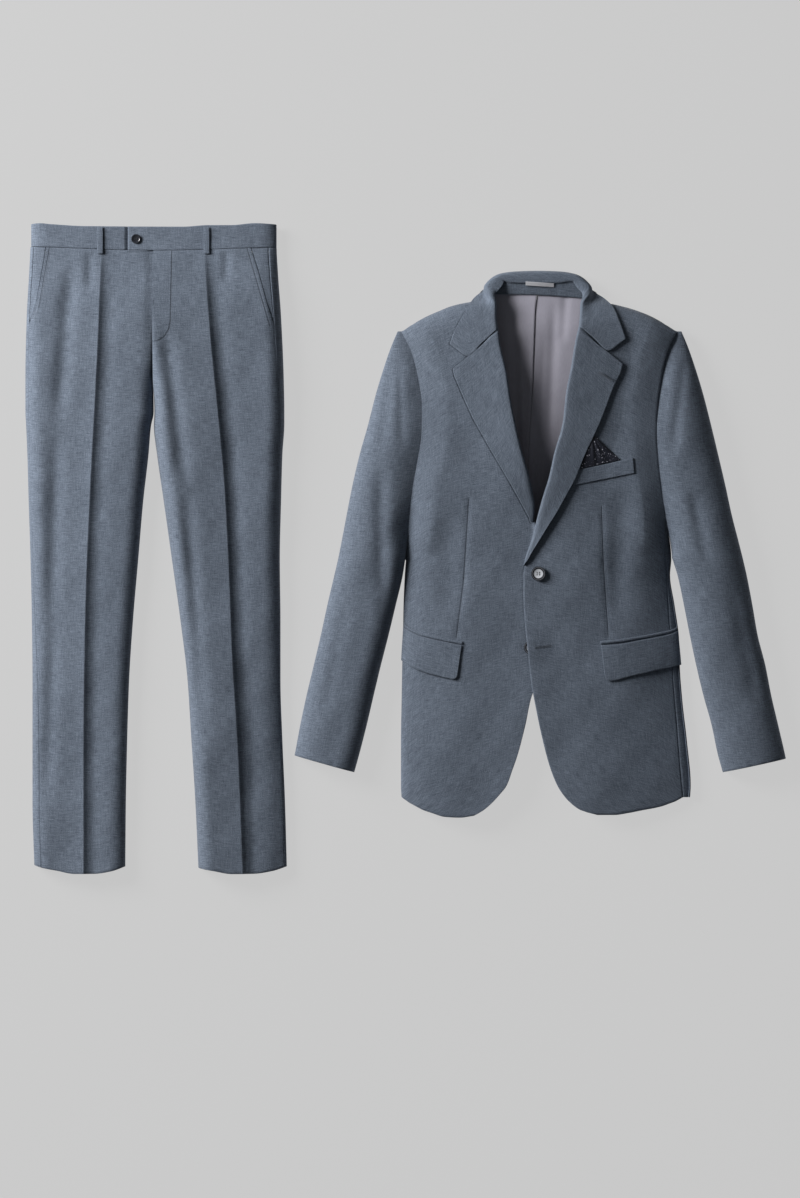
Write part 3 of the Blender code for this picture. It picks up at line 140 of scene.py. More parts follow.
HEM_DROP = table("share drop", (0, 0), (0.1, 4), (0.25, 8), (0.45, 13), (0.65, 13), (0.85, 9), (1, 2))
CREASES = table(
    "down right left height",
    (42, -80, 78, 2.0), (110, -83, 83, 4.6), (195, -86, 90, 6.0), (273, -90, 98, 6.0),
    (406, -97, 110, 6.0), (569, -104, 118, 6.0), (652, -106, 121, 6.0), (823, -108, 131, 6.0),
    (1005, -108, 138, 6.0),
)
SIDE_SEAMS = table(
    "down right left",
    (36, 5, 12), (163, 5, 11), (273, 6, 8), (422, 4, 4), (569, 5, 3), (645, 7, 3), (794, 11, 3),
    (1000, 12, 4),
)
POCKET_MOUTHS = table(
    "down right left",
    (36, -165, 149), (81, -173, 163), (125, -181, 175), (158, -188, 184),
)
POCKET_END = 158.0
POCKET_DROP = 0.9
POCKET_TIP = 0.75
WAIST_STATION = 40.0
HEM_STATION = 993.0

TROUSER_FOLDS = table(
    "top bottom across_top across_bottom depth width",
    (40, 330, -125, -148, 5.0, 13), (300, 640, -148, -158, 4.2, 13), (600, 930, -153, -168, 3.4, 12),
    (40, 110, -98, -99, 2.4, 7), (140, 420, 15, 52, 4.8, 12), (380, 840, 50, 78, 4.2, 12),
    (40, 95, 112, 113, 2.4, 7), (650, 900, 145, 158, 1.5, 14),
)

ARM_TOP = 94
BODY_LOW = 815
SLEEVE_FREE = 446
CUFF_TILT_START = 445
CUFF_DOWN = 776

FRONT_NEAR = (0, 2.6, 12, 32)
BODY_SIDES = table(
    "down right left",
    (94, -207, 217), (124, -192, 202), (166, -181, 192), (209, -175, 186), (240, -175, 184),
    (302, -183, 188), (339, -190, 193), (380, -195, 200), (445, -201, 210), (471, -203, 208),
    (518, -205, 215), (572, -206, 222), (611, -207, 223), (665, -208, 227), (727, -209, 234),
    (797, -209, 240), (815, -208, 239),
)
LEFT_SIDE_SEAM = table(
    "down across",
    (385, 199), (445, 201), (518, 205), (564, 208), (614, 211), (700, 218), (775, 224), (815, 228),
)
SHOULDERS = table(
    "across down",
    (-207, 93), (-194, 84), (-163, 68), (-129, 54), (-112, 50), (-100, 48), (-88, 46), (-76, 44),
    (-68, 12), (-60, -20), (68, -20), (76, 12), (84, 46), (96, 48), (108, 50), (121, 52), (138, 56),
    (155, 61), (189, 76), (203, 84), (217, 93),
)
JACKET_RISE = table(
    "down rise",
    (0, 12), (60, 17), (120, 23), (200, 28), (300, 29), (400, 27), (500, 23), (600, 20), (700, 17),
    (850, 13),
)
ARMHOLE_SHARE = table(
    "down share",
    (94, 0.35), (150, 0.6), (240, 0.72), (330, 0.6), (400, 0.3), (445, 0), (850, 0),
)
RIGHT_FRONT_EDGE = table(
    "across down",
    (-76, 44), (-72, 64), (-66, 90), (-57, 132), (-51, 158), (-44, 205), (-32, 262), (-17, 324),
    (-15.5, 350), (-13, 366), (-4, 386), (0, 397), (6, 430), (10, 500), (11, 560), (9, 610), (1, 640),
    (-7, 658), (-17, 704), (-29, 750), (-37, 773), (-46, 797), (-57, 811), (-68, 823), (-82, 835),
    (-96, 843),
)
LEFT_FRONT_EDGE = table(
    "across down",
    (84, 46), (79, 64), (70, 90), (64, 113), (58, 150), (50, 191), (45, 236), (32, 284), (23, 324),
    (16, 346), (9, 371), (3, 395), (-4, 420), (-14, 445), (-20, 470), (-20, 490), (-18, 542),
    (-13, 591), (-8, 639), (-5, 654), (5, 704), (16, 750), (23, 773), (33, 797), (42, 811), (53, 823),
    (70, 835), (95, 842),
)
RIGHT_HEM = table(
    "across down",
    (-208, 815), (-183, 831), (-161, 839), (-140, 845), (-118, 846), (-96, 843),
)
LEFT_HEM = table(
    "across down",
    (95, 842), (121, 842), (143, 839), (164, 835), (186, 831), (208, 825), (228, 815),
)
FRONT_DIP = table("down dip", (330, 0), (352, 4.8), (450, 4.2), (490, 2.0), (640, 1.8), (662, 0))
FRONT_LIFT = table("past lift", (-3, 2.4), (0, 2.4), (8, 2.1), (20, 1.2), (34, 0.4), (48, 0))
# Inner and outer radius, as shares, of the painted reflection in the front buttons' dish.
DISC_SHARES = (0.60, 0.66)
BUTTON_SWELL = 2.2
BUTTON_DIP = 1.5

RIGHT_BACK_CENTRE = table(
    "across down",
    (1.5, 44), (1, 200), (0, 400), (-2, 560), (-8, 630), (-16, 665), (-23, 704), (-36, 750), (-54, 797),
    (-66, 812), (-78, 824),
)
LEFT_BACK_CENTRE = table(
    "across down",
    (2.1, 44), (1.6, 200), (0.6, 400), (-1.4, 560), (0, 630), (4, 665), (12, 704), (23, 750), (41, 797),
    (52, 811), (64, 822),
)
BACK_COLUMNS = (0, 0.12, 0.25, 0.4, 0.56, 0.66, 0.8, 1)
BACK_NECK = {"right": [(-66, 41), (-45, 44)], "left": [(72, 43), (50, 45)]}
BACK_CORNERS = {"right": (-207.0, -76.0), "left": (217.0, 84.0)}

LAPEL_RIGHT = table(
    "roll_across roll_down outer_across outer_down depth hook",
    (-58, 96, -129, 153, 5.4, 1), (-56, 112, -127, 163, 5.4, 1), (-52, 132, -121, 177, 5.4, 1),
    (-46, 158, -113, 196, 5.4, 1), (-39, 205, -97, 231, 5.2, 1), (-33, 235, -83.5, 255, 5.0, 1),
    (-27, 262, -70, 279, 4.8, 1), (-18, 295, -53.5, 307, 4.6, 1), (-10, 324, -39.5, 331, 4.4, 1),
    (-5, 347, -26, 355, 4.2, 1), (-3, 363, -18, 370, 3.4, 0.45), (-3.5, 377, -11.5, 382, 0.8, 0.25),
    (-5, 389, -9, 390, 0.6, 0.25),
)
LAPEL_LEFT = table(
    "roll_across roll_down outer_across outer_down depth hook",
    (64, 92, 133, 146, 5.4, 1), (61, 104, 131, 156, 5.4, 1), (57, 125, 124, 171, 5.4, 1),
    (53, 150, 116, 189, 5.4, 1), (45, 191, 104, 221, 5.2, 1), (40, 236, 92, 249, 5.0, 1),
    (27, 284, 74, 287, 4.8, 1), (18, 324, 59, 324, 4.6, 1), (11, 346, 48, 344, 4.4, 1),
    (4, 371, 32, 373, 4.2, 1), (-2, 395, 15, 400, 4.0, 0.9), (-8, 418, 4, 418, 3.9, 0.6),
    (-15, 438, -6, 434, 2.6, 0.3), (-20, 456, -15, 450, 0.8, 0.2),
)
LAPEL_LIFT = table("share lift", (0, 0), (0.55, 0.4), (0.8, 2.2), (1, 1.2))
LAPEL_HOOK = table(
    "distance share",
    (9.0, -1.0), (4.0, -1.0), (1.2, -0.74), (0.0, -0.2), (0.9, 0.36), (3.2, 0.78),
)
LAPEL_COLUMNS = (0.22, 0.45, 0.7, 0.88, 1.0)

BREAST_WELT = ((58, 311), (149, 290.5), (151, 314), (55, 333.5))
POCKET_SQUARE = ((80, 258), (91, 258), (129, 293.5), (67, 308))
FLAP_TOPS = {
    "right": table(
        "across down", (-204, 552), (-197, 556), (-184, 563), (-168, 568), (-137, 575), (-115, 579.5)
    ),
    "left": table(
        "across down", (219, 557), (210, 561.5), (183, 567.5), (153, 573), (123, 578.5), (100, 579.5)
    ),
}
FLAP_BOTTOMS = {
    "right": table(
        "across down",
        (-206, 603), (-195, 611), (-185, 616), (-155, 626), (-137, 630), (-127, 632), (-122, 628),
    ),
    "left": table(
        "across down",
        (222.5, 610), (207, 614), (188, 618), (139, 629), (118, 634), (111, 634), (106, 629),
    ),
}
JETS = {
    "right": table(
        "across down",
        (-203, 549), (-195, 554.5), (-184, 560.3), (-168, 565), (-137, 571.8), (-114, 576.2),
    ),
    "left": table("across down", (218, 554), (212, 557), (193, 561.5), (163, 567), (125, 573), (99, 575.6)),
}

UNDERARM = table("down share", (404, 0.0), (445, 1.0), (850, 1.0))
UNDER_SEAMS = {
    "right": ((404, 445, 490, 815), (-185, -181, -160, -162)),
    "left": ((404, 445, 490, 815), (190, 188, 168, 194)),
}
SLEEVE_RIGHT = table(
    "down outer inner",
    (94, -214, -207), (115, -223, -196), (146, -234, -184), (192, -248, -176), (239, -260, -175),
    (285, -273, -180), (332, -284, -189), (378, -293, -195), (425, -302, -199), (445, -306, -202),
    (471, -312, -206), (518, -323, -217), (564, -333, -228), (611, -344, -240), (657, -355, -251),
    (704, -365, -262), (747, -373, -273), (776, -379, -281),
)
SLEEVE_LEFT = table(
    "down outer inner",
    (94, 225, 217), (115, 234, 207), (146, 245, 197), (192, 259, 188), (239, 271, 184), (285, 282, 187),
    (332, 293, 192), (378, 303, 199), (425, 315, 207), (445, 320, 211), (471, 326, 219),
    (518, 335, 229), (564, 343, 238), (611, 355, 248), (657, 364, 259), (704, 375, 272),
    (747, 385, 281), (776, 391, 289),
)
SLEEVE_RISE = table(
    "down rise",
    (94, 6), (124, 14), (180, 23), (280, 28), (450, 27), (600, 25), (776, 22),
)
CUFF_TILT = {"right": 26.0, "left": 21.0}
SLEEVE_FOLDS = table(
    "top bottom across_top across_bottom depth width",
    (110, 300, -220, -243, 2.4, 9), (120, 290, -212, -207, 2.0, 7), (280, 540, -242, -237, 3.4, 11),
    (120, 300, 232, 208, 2.6, 9), (330, 460, 240, 262, 2.6, 11), (500, 700, -290, -330, 2.0, 12),
    (480, 690, 300, 345, 2.0, 12),
)
JACKET_FOLDS = table(
    "top bottom across_top across_bottom depth width",
    (330, 552, 135, 122, 4.0, 20), (360, 550, -140, -130, 2.2, 20), (150, 330, -150, -160, 1.8, 14),
)

COLLAR = table(
    "roll_across roll_down edge_across edge_down height fall notch",
    (-59, 93, -134, 115, 0, 0, 27), (-60, 83, -128, 98, 0, 0, 12), (-61, 70, -121, 84, 0, 0, 2),
    (-61, 52, -110, 64, 1, 0, 0), (-61, 38, -99, 43, 2, 0.2, 0), (-60, 25, -84, 26, 2, 0.8, 0),
    (-58, 14, -70, 12, 0, 1, 0), (-50, 10, -54, 4, 0, 1, 0), (-30, 9, -31, 1, 0, 1, 0),
    (3, 9, 3, 0, 0, 1, 0), (36, 9, 37, 1, 0, 1, 0), (56, 10, 61, 5, 0, 1, 0), (66, 16, 78, 15, 0, 1, 0),
    (69, 26, 90, 28, 2, 0.8, 0), (69, 38, 108, 43, 2, 0.2, 0), (68, 52, 119, 57, 1, 0, 0),
    (67, 68, 127, 76, 0, 0, 2), (66, 80, 133, 92, 0, 0, 12), (65, 89, 138, 107, 0, 0, 25),
)
COLLAR_ROLL = table(
    "distance rise crest",
    (7.0, -5.4, 17.2), (3.4, -5.4, 18.0), (1.0, -3.8, 18.5), (0.0, -0.8, 18.6), (1.0, 2.0, 17.8),
    (4.0, 4.4, 11.0),
)
COLLAR_FALL = table(
    "share notch inward low",
    (0.3, 0.48, 0.6, 5.0), (0.6, 1.0, 3.5, 1.4), (0.85, 0.4, 8.0, 0.2), (1.0, 0, 13.0, 0.2),
)
NECK = table("down height", (8, 15.0), (19, 14.2), (27, 12.3), (40, 8.6))

LINING_PLEAT = table("down across", (36, 2), (62, -1), (110, -3), (169, -5), (300, -12), (400, -13))
LINING_EDGES = table(
    "down right left",
    (34, -70, 78), (95, -70, 78), (205, -53, 59), (324, -25, 32), (398, -18, 6),
)
LINING_TOP = 34
LINING_LOW = 398

# Finer form, sewing, painted shadow lines and the buttons' painted reflection and highlight
SIDE_NAMES = {-1: "right", 1: "left"}
EDGE_ROUND = 0.3
CREASE_LEFT = 24.0
CREASE_RIGHT = 9.0
CREASE_SLOPE = 75.0
CREASE_HOLLOW = 0.42
CREASE_SHARES = (0.75, 0.95)
CREASE_TOP = 30.0
LEG_TILT = 7.0
CREASE_OFFSETS = (9, 7, 5.2, 3.8, 2.6, 1.6, 0.8, 0, -0.8, -1.6, -2.6, -3.8, -5.2, -7, -9)
TURNS = (0, 15, 30, 45, 60, 75, 90)
POCKET_BEND = 125.0
LOOP_CENTRES = {-1: -82.5, 1: 82.0}
LOOP_STAND = table(
    "down gap",
    (6.5, 0.5), (9.5, 0.7), (14, 0.8), (20, 1.0), (28, 1.0), (36, 0.9), (42, 0.7), (45, 0.6),
    (47.5, 0.5),
)
WELT = 1.4
SQUARE = 1.2
SQUARE_PUFF = 3.2
SQUARE_FOLDS = table(
    "start end depth width",
    (0.3, 0.2, 1.0, 0.08), (0.5, 0.45, 1.5, 0.07), (0.66, 0.8, 1.2, 0.08),
)
FLAP_LIFT = 1.3
THREAD = 0.55
DRAPE = table(
    "amount turn wave phase",
    (0.55, 12, 118, 0.4), (0.45, 71, 163, 2.1), (0.35, 131, 83, 4.4), (0.22, 38, 57, 1.2),
)
# Dark lines mixed into the cloth's colour, each with a shallow groove in the bump. The pocket and fly lines
# follow seams and stitching, and the darts are seams with painted shade in their grooves. The runs along the
# lapel's and collar's edges and under the waistband tab are painted shadow.
DARTS = runs((-104, 355), (-111.6, 476), (-123, 567)) + runs((100.8, 366), (103.9, 454), (111.6, 566))
LAPEL_EDGE = tuple(zip(LAPEL_RIGHT["outer_across"] - 0.2, LAPEL_RIGHT["outer_down"] + 1.6))
LAPEL_SHADE = runs(*LAPEL_EDGE)
COLLAR_SHADE = runs((-110, 64), (-121, 84), (-134, 115), (-107, 135), (-129, 153))
POCKET_LINE = {
    "right": runs((-160.4, 37), (-168.2, 80.6), (-176.4, 130)),
    "left": runs((144.3, 37.2), (180.6, 159.7)),
}
TAB_SHADOW_LINE = runs((-39.5, 44.4), (-1.5, 44.4))
FLY_LINE = runs((28.7, 42), (27.0, 152), (24.5, 165), (18.0, 176), (9.0, 182), (-0.8, 184.5))
SEAM_AND_SHADOW_LINES = {
    "front_right": (JACKET_PLACE, 1.6, DARTS[:2] + LAPEL_SHADE + COLLAR_SHADE),
    "front_left": (JACKET_PLACE, 1.3, DARTS[2:]),
    "trouser_right": (TROUSER_PLACE, 1.0, POCKET_LINE["right"] + TAB_SHADOW_LINE),
    "trouser_left": (TROUSER_PLACE, 1.1, FLY_LINE + POCKET_LINE["left"]),
}
DART_DIP = 0.8
ARM_OVERLAP = 1.6
GORGE_TUCK = 7.0
FRONT_TILT = 10.5
ROLL_RAISES = (8.5, 14.0)
ROLL_REACH = 90.0
LINING_FOLDS = table(
    "top bottom across_top across_bottom depth width",
    (20, 330, -36, -24, 2.0, 9), (30, 280, 30, 16, 2.6, 9), (60, 390, 14, -2, 1.8, 6),
    (20, 120, 48, 40, 1.6, 7), (110, 300, -16, -14, 1.4, 5),
)
BUTTON_STEPS = ((0.36, 1.0), (0.3, 0.96), (0.04, 0.9), (-0.1, 0.88), (-0.24, 0.82), (-0.04, 0.5))
BUTTON_FOOT = 0.86
HOLE_PLACES = ((-1, -1), (-1, 1), (1, -1), (1, 1))
HOLE_SPREAD = 0.17
HOLE_RADIUS = 0.085
# Place and half width of the painted highlight ring on the front buttons, as shares of the radius.
RIM_HIGHLIGHT_PLACE = 0.86
RIM_HIGHLIGHT_HALF = 0.045
THREAD_LEVEL = 0.62
LAPEL_HOLE_LIFT = 2.4
LEAST_FILL = 0.3
RIM_SHARES = (0.25, 0.75)
FIBRES = 700.0
YARN_FINE = 760.0
WEFT_LONG = 70.0
WARP_LONG = 55.0
CLOUDS = 11.0
SATIN_CLOUDS = 26.0
HORN_CLOUDS = 160.0
THREAD_TWIST = 1500.0
PAPER_GRAIN = 60.0
PETALS = (260.0, 0.2)
SPECKS = (460.0, 0.13)
RIBBON_DARK = (0.45, 0.45, 0.48)
RIBBON_LIGHT = (0.72, 0.72, 0.75)
FILL_COLOUR = (0.93, 0.97, 1.0, 1.0)
FLOOR_SIZE = 14.0
SENSOR_WIDTH = 36.0
CLIP_END = 60.0
POCKET_STITCH_INSETS = (1.6, 6.2)
STITCH_PITCH = 3.0
STITCH_LENGTH = 2.3
STITCH_WIDTH = 0.55
FLY_TOP = (28.7, 44.0)
FLY_CORNER = (27.0, 150.0, 34.0)
BUTTONHOLES = (
    ("buttonhole_lapel", (95.0, 158.6), (115.6, 171.1), "lapel"),
    ("buttonhole_lower", (-2.5, 583.6), (22.5, 580.5), "front"),
    ("buttonhole_upper", (-8.4, 469.7), (15.0, 468.0), "front"),
)
FRAME_CENTRE = (-0.0085, -0.078)
KEY_AIM = (0.0, 0.0, 0.0)
NARROWEST = 0.01


def stacked(*parts):
    """Arrays of coordinates joined into points."""
    return np.stack(parts, axis=-1)


def smooth(xs, ys, x):
    """A monotone cubic through the rows, held level past both ends."""
    x = np.clip(np.asarray(x, dtype=float), xs[0], xs[-1])
    width = np.diff(xs)
    slope = np.diff(ys) / width
    tangent = np.zeros_like(ys)
    tangent[0] = slope[0]
    tangent[-1] = slope[-1]
    before = slope[:-1]
    after = slope[1:]
    turns = before * after <= 0
    safe_before = np.where(turns, 1.0, before)
    safe_after = np.where(turns, 1.0, after)
    weight_a = 2 * width[1:] + width[:-1]
    weight_b = width[1:] + 2 * width[:-1]
    mean = (weight_a + weight_b) / (weight_a / safe_before + weight_b / safe_after)
    tangent[1:-1] = np.where(turns, 0.0, mean)
    i = np.clip(np.searchsorted(xs, x, side="right") - 1, 0, len(width) - 1)
    s = (x - xs[i]) / width[i]
    start = (1 + 2 * s) * (1 - s) ** 2 * ys[i] + s * (1 - s) ** 2 * width[i] * tangent[i]
    end = s * s * (3 - 2 * s) * ys[i + 1] + s * s * (s - 1) * width[i] * tangent[i + 1]
    return start + end


def read(rows, key, column, at):
    """One column of a table, read smoothly at a place along its key column."""
    return smooth(rows[key], rows[column], at)


def along(rows, first, second, share):
    """A smooth plan curve through two columns of a table, at shares of its length."""
    points = stacked(rows[first], rows[second])
    steps = np.linalg.norm(np.diff(points, axis=0), axis=1)
    at = np.concatenate([[0.0], np.cumsum(steps)]) / steps.sum()
    return stacked(smooth(at, points[:, 0], share), smooth(at, points[:, 1], share))


def by_down(rows, share):
    """A plan curve from a table of across and down, at shares of its drop."""
    down = rows["down"][0] + np.asarray(share) * (rows["down"][-1] - rows["down"][0])
    return stacked(read(rows, "down", "across", down), down)


def arch(distance, radius):
    """A quarter round: 0 at the edge and 1 from the radius inwards."""
    s = np.clip(distance / radius, 0.0, 1.0)
    return np.sqrt(1.0 - (1.0 - s) ** 2)


def ramp(value):
    """A smooth step from 0 to 1."""
    s = np.clip(value, 0.0, 1.0)
    return s * s * (3 - 2 * s)


def folds(rows, across, down):
    """Soft troughs, each along its own line and fading out at both ends."""
    total = np.zeros(np.broadcast(across, down).shape)
    for top, bottom, start, end, depth, width in zip(*rows.values()):
        share = (down - top) / (bottom - top)
        line = start + (end - start) * share
        fade = ramp(share * 4) * ramp((1 - share) * 4)
        total = total + depth * fade * np.exp(-(((across - line) / width) ** 2))
    return total


def leg_side(across, down):
    """-1 over the right leg and 1 over the left."""
    centre = (read(LEGS, "down", "inner_right", down) + read(LEGS, "down", "inner_left", down)) / 2
    return np.where(across < centre, -1, 1)


def pressed(side, past):
    """Form of a pressed crease across the leg: a rise up to it, and a hollow beyond it."""
    before = np.where(side < 0, np.exp(past / CREASE_LEFT), 1 - past / CREASE_SLOPE)
    hollow = CREASE_HOLLOW * np.exp(-(((past - 14) / 13) ** 2)) * ramp(past / 6)
    return np.where(past < 0, before, np.exp(-past / CREASE_RIGHT) - hollow)


def trouser_top(across, down):
    """Height of the trousers' upper face."""
    side = leg_side(across, down)
    outer_right = read(LEGS, "down", "outer_right", down)
    outer_left = read(LEGS, "down", "outer_left", down)
    inner_right = read(LEGS, "down", "inner_right", down)
    inner_left = read(LEGS, "down", "inner_left", down)
    from_outer = np.where(side < 0, across - outer_right, outer_left - across)
    from_inner = np.where(side < 0, inner_right - across, across - inner_left)
    join = read(LEG_JOIN, "down", "share", down)
    inner = join + (1 - join) * arch(from_inner, LEG_INNER_ROUND)
    rise = read(TROUSER_CROWN, "down", "height", down) - TROUSER_EDGE
    edge_share = arch(from_outer, TROUSER_ROUND) * inner
    crease = np.where(side < 0, read(CREASES, "down", "right", down), read(CREASES, "down", "left", down))
    ridge = read(CREASES, "down", "height", down) * pressed(side, across - crease)
    ridge = ridge * np.where(side < 0, CREASE_SHARES[0], CREASE_SHARES[1]) * ramp((down - CREASE_TOP) / 36)
    low = LEG_TILT * ramp((down - 540) / 280) * np.where(side > 0, np.clip((across - 146) / 46, 0, 1), 0)
    soft = drape(across, down) - folds(TROUSER_FOLDS, across, down) - low
    return TROUSER_EDGE + edge_share * (rise + ridge + soft)


def right_front_trouser_top(across, down):
    """The right front goes under the left one at the fly."""
    centre = read(LEGS, "down", "inner_right", down)
    dip = read(FLY, "down", "dip", down) * ramp((across - centre + 16) / 15)
    return trouser_top(np.minimum(across, centre - SEAM), down) - dip


def edge_ratio(down):
    """How much of the jacket's rise is left at the armhole seam."""
    return read(ARMHOLE_SHARE, "down", "share", down)


def seam_side(distance, down, radius):
    """From the armhole seam, or from the free side below it, up to the full height."""
    ratio = edge_ratio(down)
    joined = np.clip(ratio / 0.3, 0.0, 1.0)
    soft = np.sin(np.clip(distance / ARMHOLE_ROUND, 0.0, 1.0) * math.pi / 2)
    shape = joined * soft + (1 - joined) * arch(distance, radius)
    return ratio + (1 - ratio) * shape


def jacket_top(across, down):
    """Height of the jacket body's upper face."""
    from_right = across - read(BODY_SIDES, "down", "right", down)
    from_left = read(BODY_SIDES, "down", "left", down) - across
    from_shoulder = down - read(SHOULDERS, "across", "down", across)
    sides = seam_side(from_right, down, SIDE_ROUND) * seam_side(from_left, down, SIDE_ROUND)
    rise = read(JACKET_RISE, "down", "rise", down) - folds(JACKET_FOLDS, across, down) + drape(across, down)
    for start, end in DARTS:
        rise = rise - DART_DIP * np.exp(-((segment_distance(across, down, start, end) / 4.0) ** 2))
    tilt = FRONT_TILT * np.clip((across - 62) / 140, 0, 1) ** 1.2 * ramp((down - 330) / 150)
    return JACKET_EDGE + (rise * sides - tilt) * arch(from_shoulder, SHOULDER_ROUND)


def past_front_edge(across, down):
    """Distance to the wearer's left of the left front's edge."""
    return across - read(LEFT_FRONT_EDGE, "down", "across", down)


def over_button(past, down):
    """Share of the low swelling over the hidden lower button."""
    return np.exp(-(((past - 6) / 26) ** 2) - ((down - LOWER_BUTTON[1]) / 26) ** 2)


def left_front_top(across, down):
    """The left front rises a little where it lies on the right one."""
    past = past_front_edge(across, down)
    reach = ramp((down - 440) / 40) * (1 - ramp((down - 630) / 45))
    lift = read(FRONT_LIFT, "past", "lift", past) * reach
    return jacket_top(across, down) + lift + BUTTON_SWELL * over_button(past, down) * ramp((past + 14) / 14)


def right_front_top(across, down):
    """The right front goes under the left one at the button line."""
    past = past_front_edge(across, down)
    deep = read(FRONT_DIP, "down", "dip", down) * ramp((past + 3) / 14)
    return jacket_top(across, down) - deep - BUTTON_DIP * over_button(past, down)


def sleeve_inner(side, down):
    """A sleeve's inner line: the armhole, and below it the sleeve's own edge."""
    name = "right" if side < 0 else "left"
    rows = SLEEVE_RIGHT if side < 0 else SLEEVE_LEFT
    arm = read(BODY_SIDES, "down", name, down)
    return np.where(down < SLEEVE_FREE, arm, read(rows, "down", "inner", down))


def sleeve_top(side):
    """Height function of one sleeve's upper face."""
    rows = SLEEVE_RIGHT if side < 0 else SLEEVE_LEFT

    def height(across, down):
        outer = read(rows, "down", "outer", down)
        inner = sleeve_inner(side, down)
        from_outer = (across - outer) * -side
        from_inner = (inner - across) * -side
        outer_round = SLEEVE_ROUND if side > 0 else 34.0
        shape = arch(from_outer, SLEEVE_ROUND) * seam_side(from_inner, down, outer_round)
        rise = read(SLEEVE_RISE, "down", "rise", down)
        rise = rise - folds(SLEEVE_FOLDS, across, down) + drape(across, down)
        return JACKET_EDGE + rise * shape

    return height


def unit(vectors):
    """The same directions with length one."""
    return vectors / np.linalg.norm(vectors, axis=-1, keepdims=True)


def lift(plan, height, facing=1):
    """Points of a height function over plan points, with the normals that face out."""
    across = plan[..., 0]
    down = plan[..., 1]
    step = 0.4
    z = height(across, down)
    slope_across = (height(across + step, down) - height(across - step, down)) / (2 * step)
    slope_down = (height(across, down + step) - height(across, down - step)) / (2 * step)
    normals = stacked(-slope_across, -slope_down, np.ones_like(z)) * facing
    normals = unit(normals)
    return stacked(across, down, z), normals


def grid_normals(points, up_at):
    """Normals of a grid by its neighbours, turned so that the point up_at faces up."""
    normals = np.cross(np.gradient(points, axis=0), np.gradient(points, axis=1))
    normals = unit(normals)
    if normals[up_at][2] < 0:
        normals = -normals
    return normals


def coons(first, last, top, bottom, u, v):
    """Plan points between four curves, at column shares u and row shares v of the same shape."""
    corners = (
        (1 - u)[..., None] * (1 - v)[..., None] * top(0.0)
        + u[..., None] * (1 - v)[..., None] * top(1.0)
        + (1 - u)[..., None] * v[..., None] * bottom(0.0)
        + u[..., None] * v[..., None] * bottom(1.0)
    )
    across_rows = (1 - u)[..., None] * first(v) + u[..., None] * last(v)
    down_columns = (1 - v)[..., None] * top(u) + v[..., None] * bottom(u)
    return across_rows + down_columns - corners


def eased(count):
    """Shares from 0 to 1 that start close together, as round an edge."""
    return 1 - np.cos(np.linspace(0, math.pi / 2, count))


def band_top(across, down):
    """Height of the waistband's upper face."""
    return trouser_top(across, np.maximum(down, BAND_LOW)) + BAND_PROUD


def right_band_top(across, down):
    """The right end of the waistband goes under the tab."""
    return band_top(across, down) - TAB_DIP * ramp((across - TAB_END + 5) / 4)


def spread(first, last, step):
    """Evenly spaced values from first to last, at most a step apart."""
    return np.linspace(first, last, max(2, int(math.ceil(abs(last - first) / step)) + 1))


def world(place, local):
    """Plan points with heights, in millimetres, as places in metres."""
    local = np.asarray(local, dtype=float)
    across = place[0] + local[..., 0]
    return stacked(across, place[1] - local[..., 1], local[..., 2]) * MM


def densify(points, factor_rows, factor_columns):
    """A grid of points, read smoothly between its rows and between its columns."""
    def along_rows(grid, factor):
        keys = np.arange(grid.shape[0], dtype=float)
        at = np.linspace(0, keys[-1], (grid.shape[0] - 1) * factor + 1)
        flat = grid.reshape(grid.shape[0], -1)
        read_columns = [smooth(keys, flat[:, k], at) for k in range(flat.shape[1])]
        return np.stack(read_columns, axis=-1).reshape((len(at),) + grid.shape[1:])

    points = along_rows(points, factor_rows)
    return along_rows(points.swapaxes(0, 1), factor_columns).swapaxes(0, 1)


def drape(across, down):
    """The slight unevenness of cloth that lies freely, in long shallow waves."""
    total = 0.0
    for amount, turn, wave, phase in zip(*DRAPE.values()):
        direction = math.radians(turn)
        way = across * math.cos(direction) + down * math.sin(direction)
        total = total + amount * np.sin(way * math.tau / wave + phase)
    return total


def segment_distance(across, down, start, end):
    """Distance in the plan from a straight line between two places."""
    run = np.array(end, dtype=float) - np.array(start, dtype=float)
    share = ((across - start[0]) * run[0] + (down - start[1]) * run[1]) / (run @ run)
    share = np.clip(share, 0.0, 1.0)
    return np.hypot(across - start[0] - share * run[0], down - start[1] - share * run[1])


